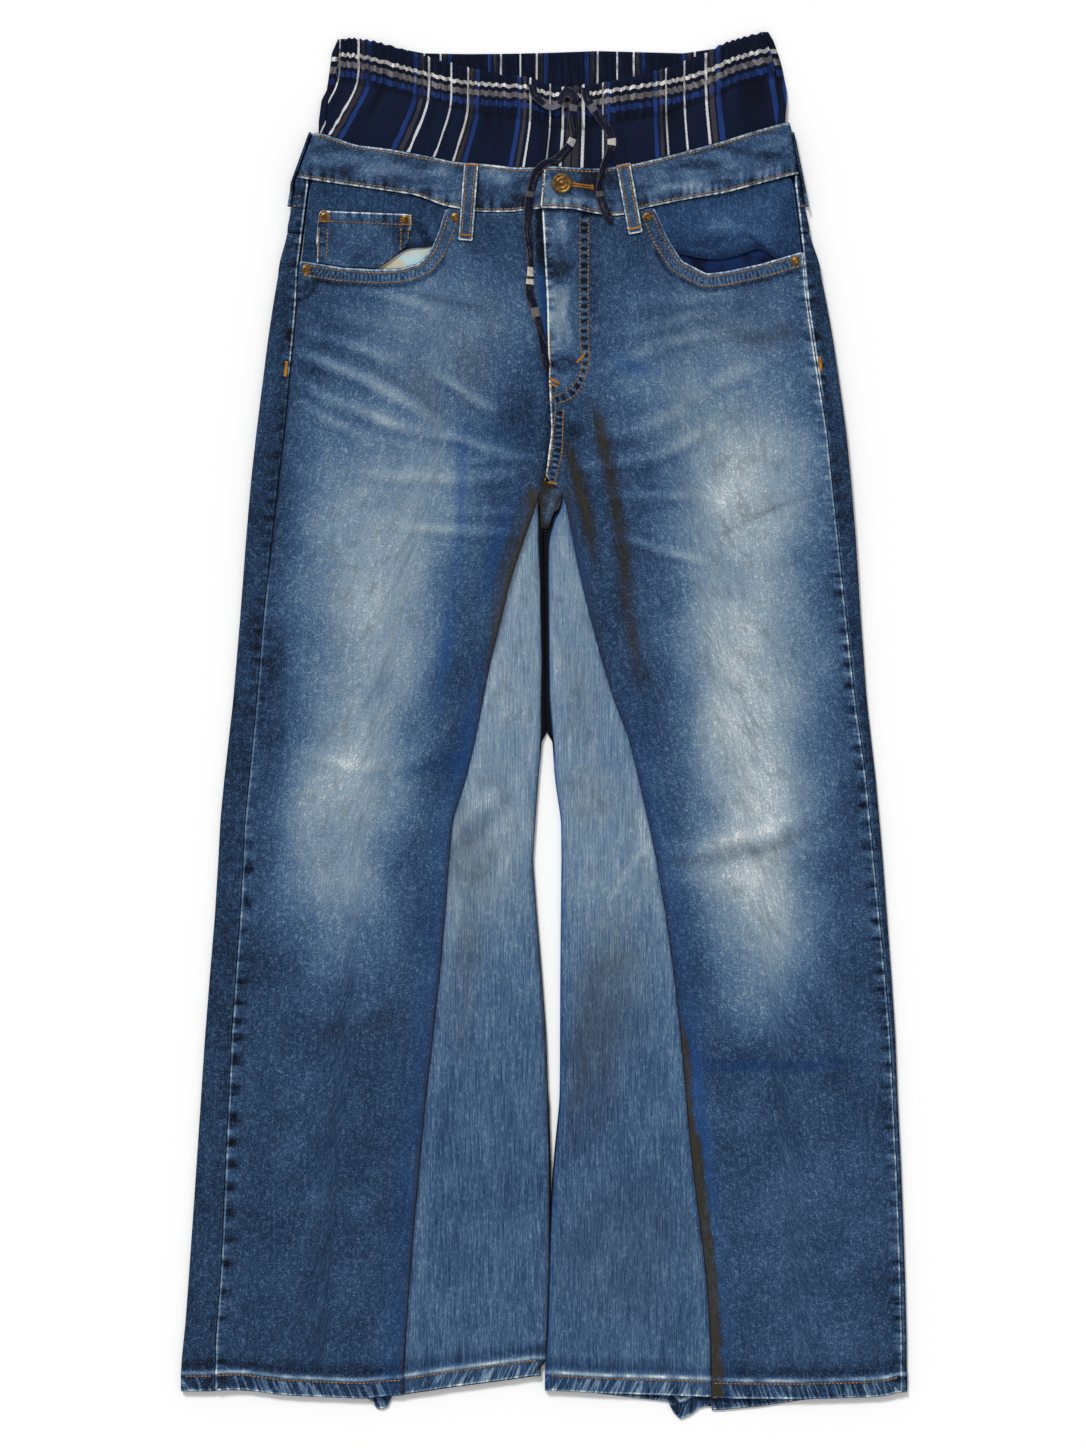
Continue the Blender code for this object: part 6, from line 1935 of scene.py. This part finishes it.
def make_tail(name, route, rolls, node):
    """A flat plaid tie laid on the cloth under it."""
    line = along(route, 1.5)
    heights = []
    for x, y in line:
        around = [(x, y), (x + 2, y), (x - 2, y), (x, y + 2), (x, y - 2)]
        hits = [on_cloth(UNDER_TIES, *spot) for spot in around]
        heights.append(max(h[0].z for h in hits if h))
    heights = [max(heights[max(0, i - 2) : i + 3]) for i in range(len(heights))]
    heights = smooth(np.array(heights), 2)
    share = np.linspace(0, 1, len(line))
    roll = smooth(np.radians(through(share, rolls)), 3)
    half, wall = RIBBON_WIDTH / 2, RIBBON_WALL / 2
    narrow = 0.55 + 0.45 * ramp(1 - share, 0, 0.03)
    z = heights + wall + 0.15 + (half - wall) * abs(np.sin(roll)) * 0.8
    path = np.column_stack([line, z])
    way = np.gradient(path, axis=0)
    way /= np.linalg.norm(way, axis=1, keepdims=True)
    flat = np.cross(way, [0, 0, 1.0])
    flat /= np.linalg.norm(flat, axis=1, keepdims=True)
    rise = np.cross(flat, way)
    side = flat * np.cos(roll)[:, None] + rise * np.sin(roll)[:, None]
    top = -flat * np.sin(roll)[:, None] + rise * np.cos(roll)[:, None]
    verts, places = [], []
    run = run_along(path)
    for i in range(len(path)):
        for a, b in TIE_RING:
            verts.append(path[i] + side[i] * half * narrow[i] * a + top[i] * wall * b)
            places.append((run[i], a, line[i][1]))
    count, faces = len(TIE_RING), []
    for i in range(len(path) - 1):
        for k in range(count):
            n = (k + 1) % count
            faces.append((i * count + k, i * count + n, (i + 1) * count + n, (i + 1) * count + k))
    faces.append(tuple(range(count))[::-1])
    faces.append(tuple((len(path) - 1) * count + k for k in range(count)))
    piece = new_piece(name, verts, faces, MATERIALS["tie"], [node])
    store(piece, "cloth", places, "FLOAT_VECTOR")


# ---------------------------------------------------------------- light and floor

FLOOR_HALF = 6.0  # metres
FLOOR_COLOUR = (0.97, 0.97, 0.97, 1)
SKY_STRENGTH = 0.58
SUN_STRENGTH, SUN_WIDTH, SUN_TILT = 2.1, 12, (-42, -24, 0)


def add_floor():
    mesh = bpy.data.meshes.new("floor")
    corners = [(-1, -1), (1, -1), (1, 1), (-1, 1)]
    mesh.from_pydata([(x * FLOOR_HALF, y * FLOOR_HALF, 0) for x, y in corners], [], [(0, 1, 2, 3)])
    floor = bpy.data.objects.new("floor", mesh)
    bpy.context.scene.collection.objects.link(floor)
    g = Graph("floor", 0.95)
    g.set(g.shader["Base Color"], FLOOR_COLOUR)
    mesh.materials.append(g.material)


def add_light():
    world = bpy.data.worlds.new("studio")
    world.use_nodes = True
    back = world.node_tree.nodes["Background"].inputs
    back["Color"].default_value = (1, 1, 1, 1)
    back["Strength"].default_value = SKY_STRENGTH
    bpy.context.scene.world = world
    key = bpy.data.lights.new("key", "SUN")
    key.energy, key.angle = SUN_STRENGTH, math.radians(SUN_WIDTH)
    lamp = bpy.data.objects.new("key", key)
    lamp.rotation_euler = [math.radians(turn) for turn in SUN_TILT]
    bpy.context.scene.collection.objects.link(lamp)
    bpy.context.scene.view_settings.view_transform = "Standard"


# ---------------------------------------------------------------- assembly

add_camera()
MATERIALS = {
    "denim": denim_material("denim"),
    "slubbed": denim_material("slubbed", (2.2, 11.0), 0.17, 0.1, (1.0, 34.0)),
    "plaid": plaid_material("plaid", CHECK_ACROSS, CHECK_DOWN),
    "pocketing": plain_material("pocketing", (196, 184, 158), (176, 206, 214), 14, 0.85),
    # Navy bag cloth, dark partly as painted shade in the open pocket
    "navy_cloth": plain_material("navy_cloth", (18, 38, 82), (9, 18, 42), 16, 0.85),
    "tan": plain_material("tan_thread", (164, 126, 76), (120, 90, 58), 6, 0.7),
    "gold": plain_material("gold_thread", (196, 132, 44), (160, 104, 40), 5, 0.65),
    "brass": plain_material("brass", (136, 104, 58), (84, 62, 36), 3, 0.42, 0.5, 1.0),
    "tie": tie_material(),
}
PAIRED = (
    make_front, make_godet, make_back, make_yoke, make_facing, make_bag, make_back_pocket,
    make_side_loop,
)
for way in SIDES:
    for build in PAIRED:
        build(way)
make_waistband()
make_coin_pocket()
make_back_loop()
make_gusset()
make_plaid()
for loop in LOOPS:
    make_front_loop(loop)
make_button()
for rivet in RIVETS:
    make_rivet(rivet)
add_top_stitches()
add_under_stitches()
make_tail("tie_right", TAIL_RIGHT, ROLLS_RIGHT, "drawstring_right")
make_tail("tie_left", TAIL_LEFT, ROLLS_LEFT, "drawstring_left")

# Cut of each sheet as it shows: width, length and area in metres
Cut = namedtuple("Cut", "names width length area")
CUTS = rows_of(Cut, [
    ("front_right front_left", 0.30, 1.00, 0.19),
    ("godet_right", 0.26, 0.75, 0.12),
    ("godet_left", 0.29, 0.75, 0.14),
    ("back_right", 0.33, 0.98, 0.24),
    ("back_left", 0.32, 0.98, 0.24),
    ("yoke_right yoke_left", 0.26, 0.09, 0.014),
    ("waistband", 0.88, 0.038, 0.033),
    ("pocket_facing_right", 0.13, 0.07, 0.0075),
    ("pocket_facing_left", 0.13, 0.06, 0.0069),
    ("pocket_bag_right pocket_bag_left", 0.14, 0.165, 0.02),
    ("coin_pocket", 0.08, 0.045, 0.0033),
    ("back_pocket_right back_pocket_left", 0.135, 0.135, 0.014),
    ("loop_front_right", 0.0126, 0.068, 0.00085),
    ("loop_front_left", 0.0126, 0.062, 0.00078),
    ("loop_side_right loop_side_left", 0.025, 0.062, 0.0014),
    ("loop_back", 0.0126, 0.066, 0.0008),
    ("crotch_gusset", 0.027, 0.085, 0.0012),
    ("plaid_front", 0.37, 0.10, 0.034),
    ("plaid_back", 0.41, 0.10, 0.038),
])

add_floor()
add_light()
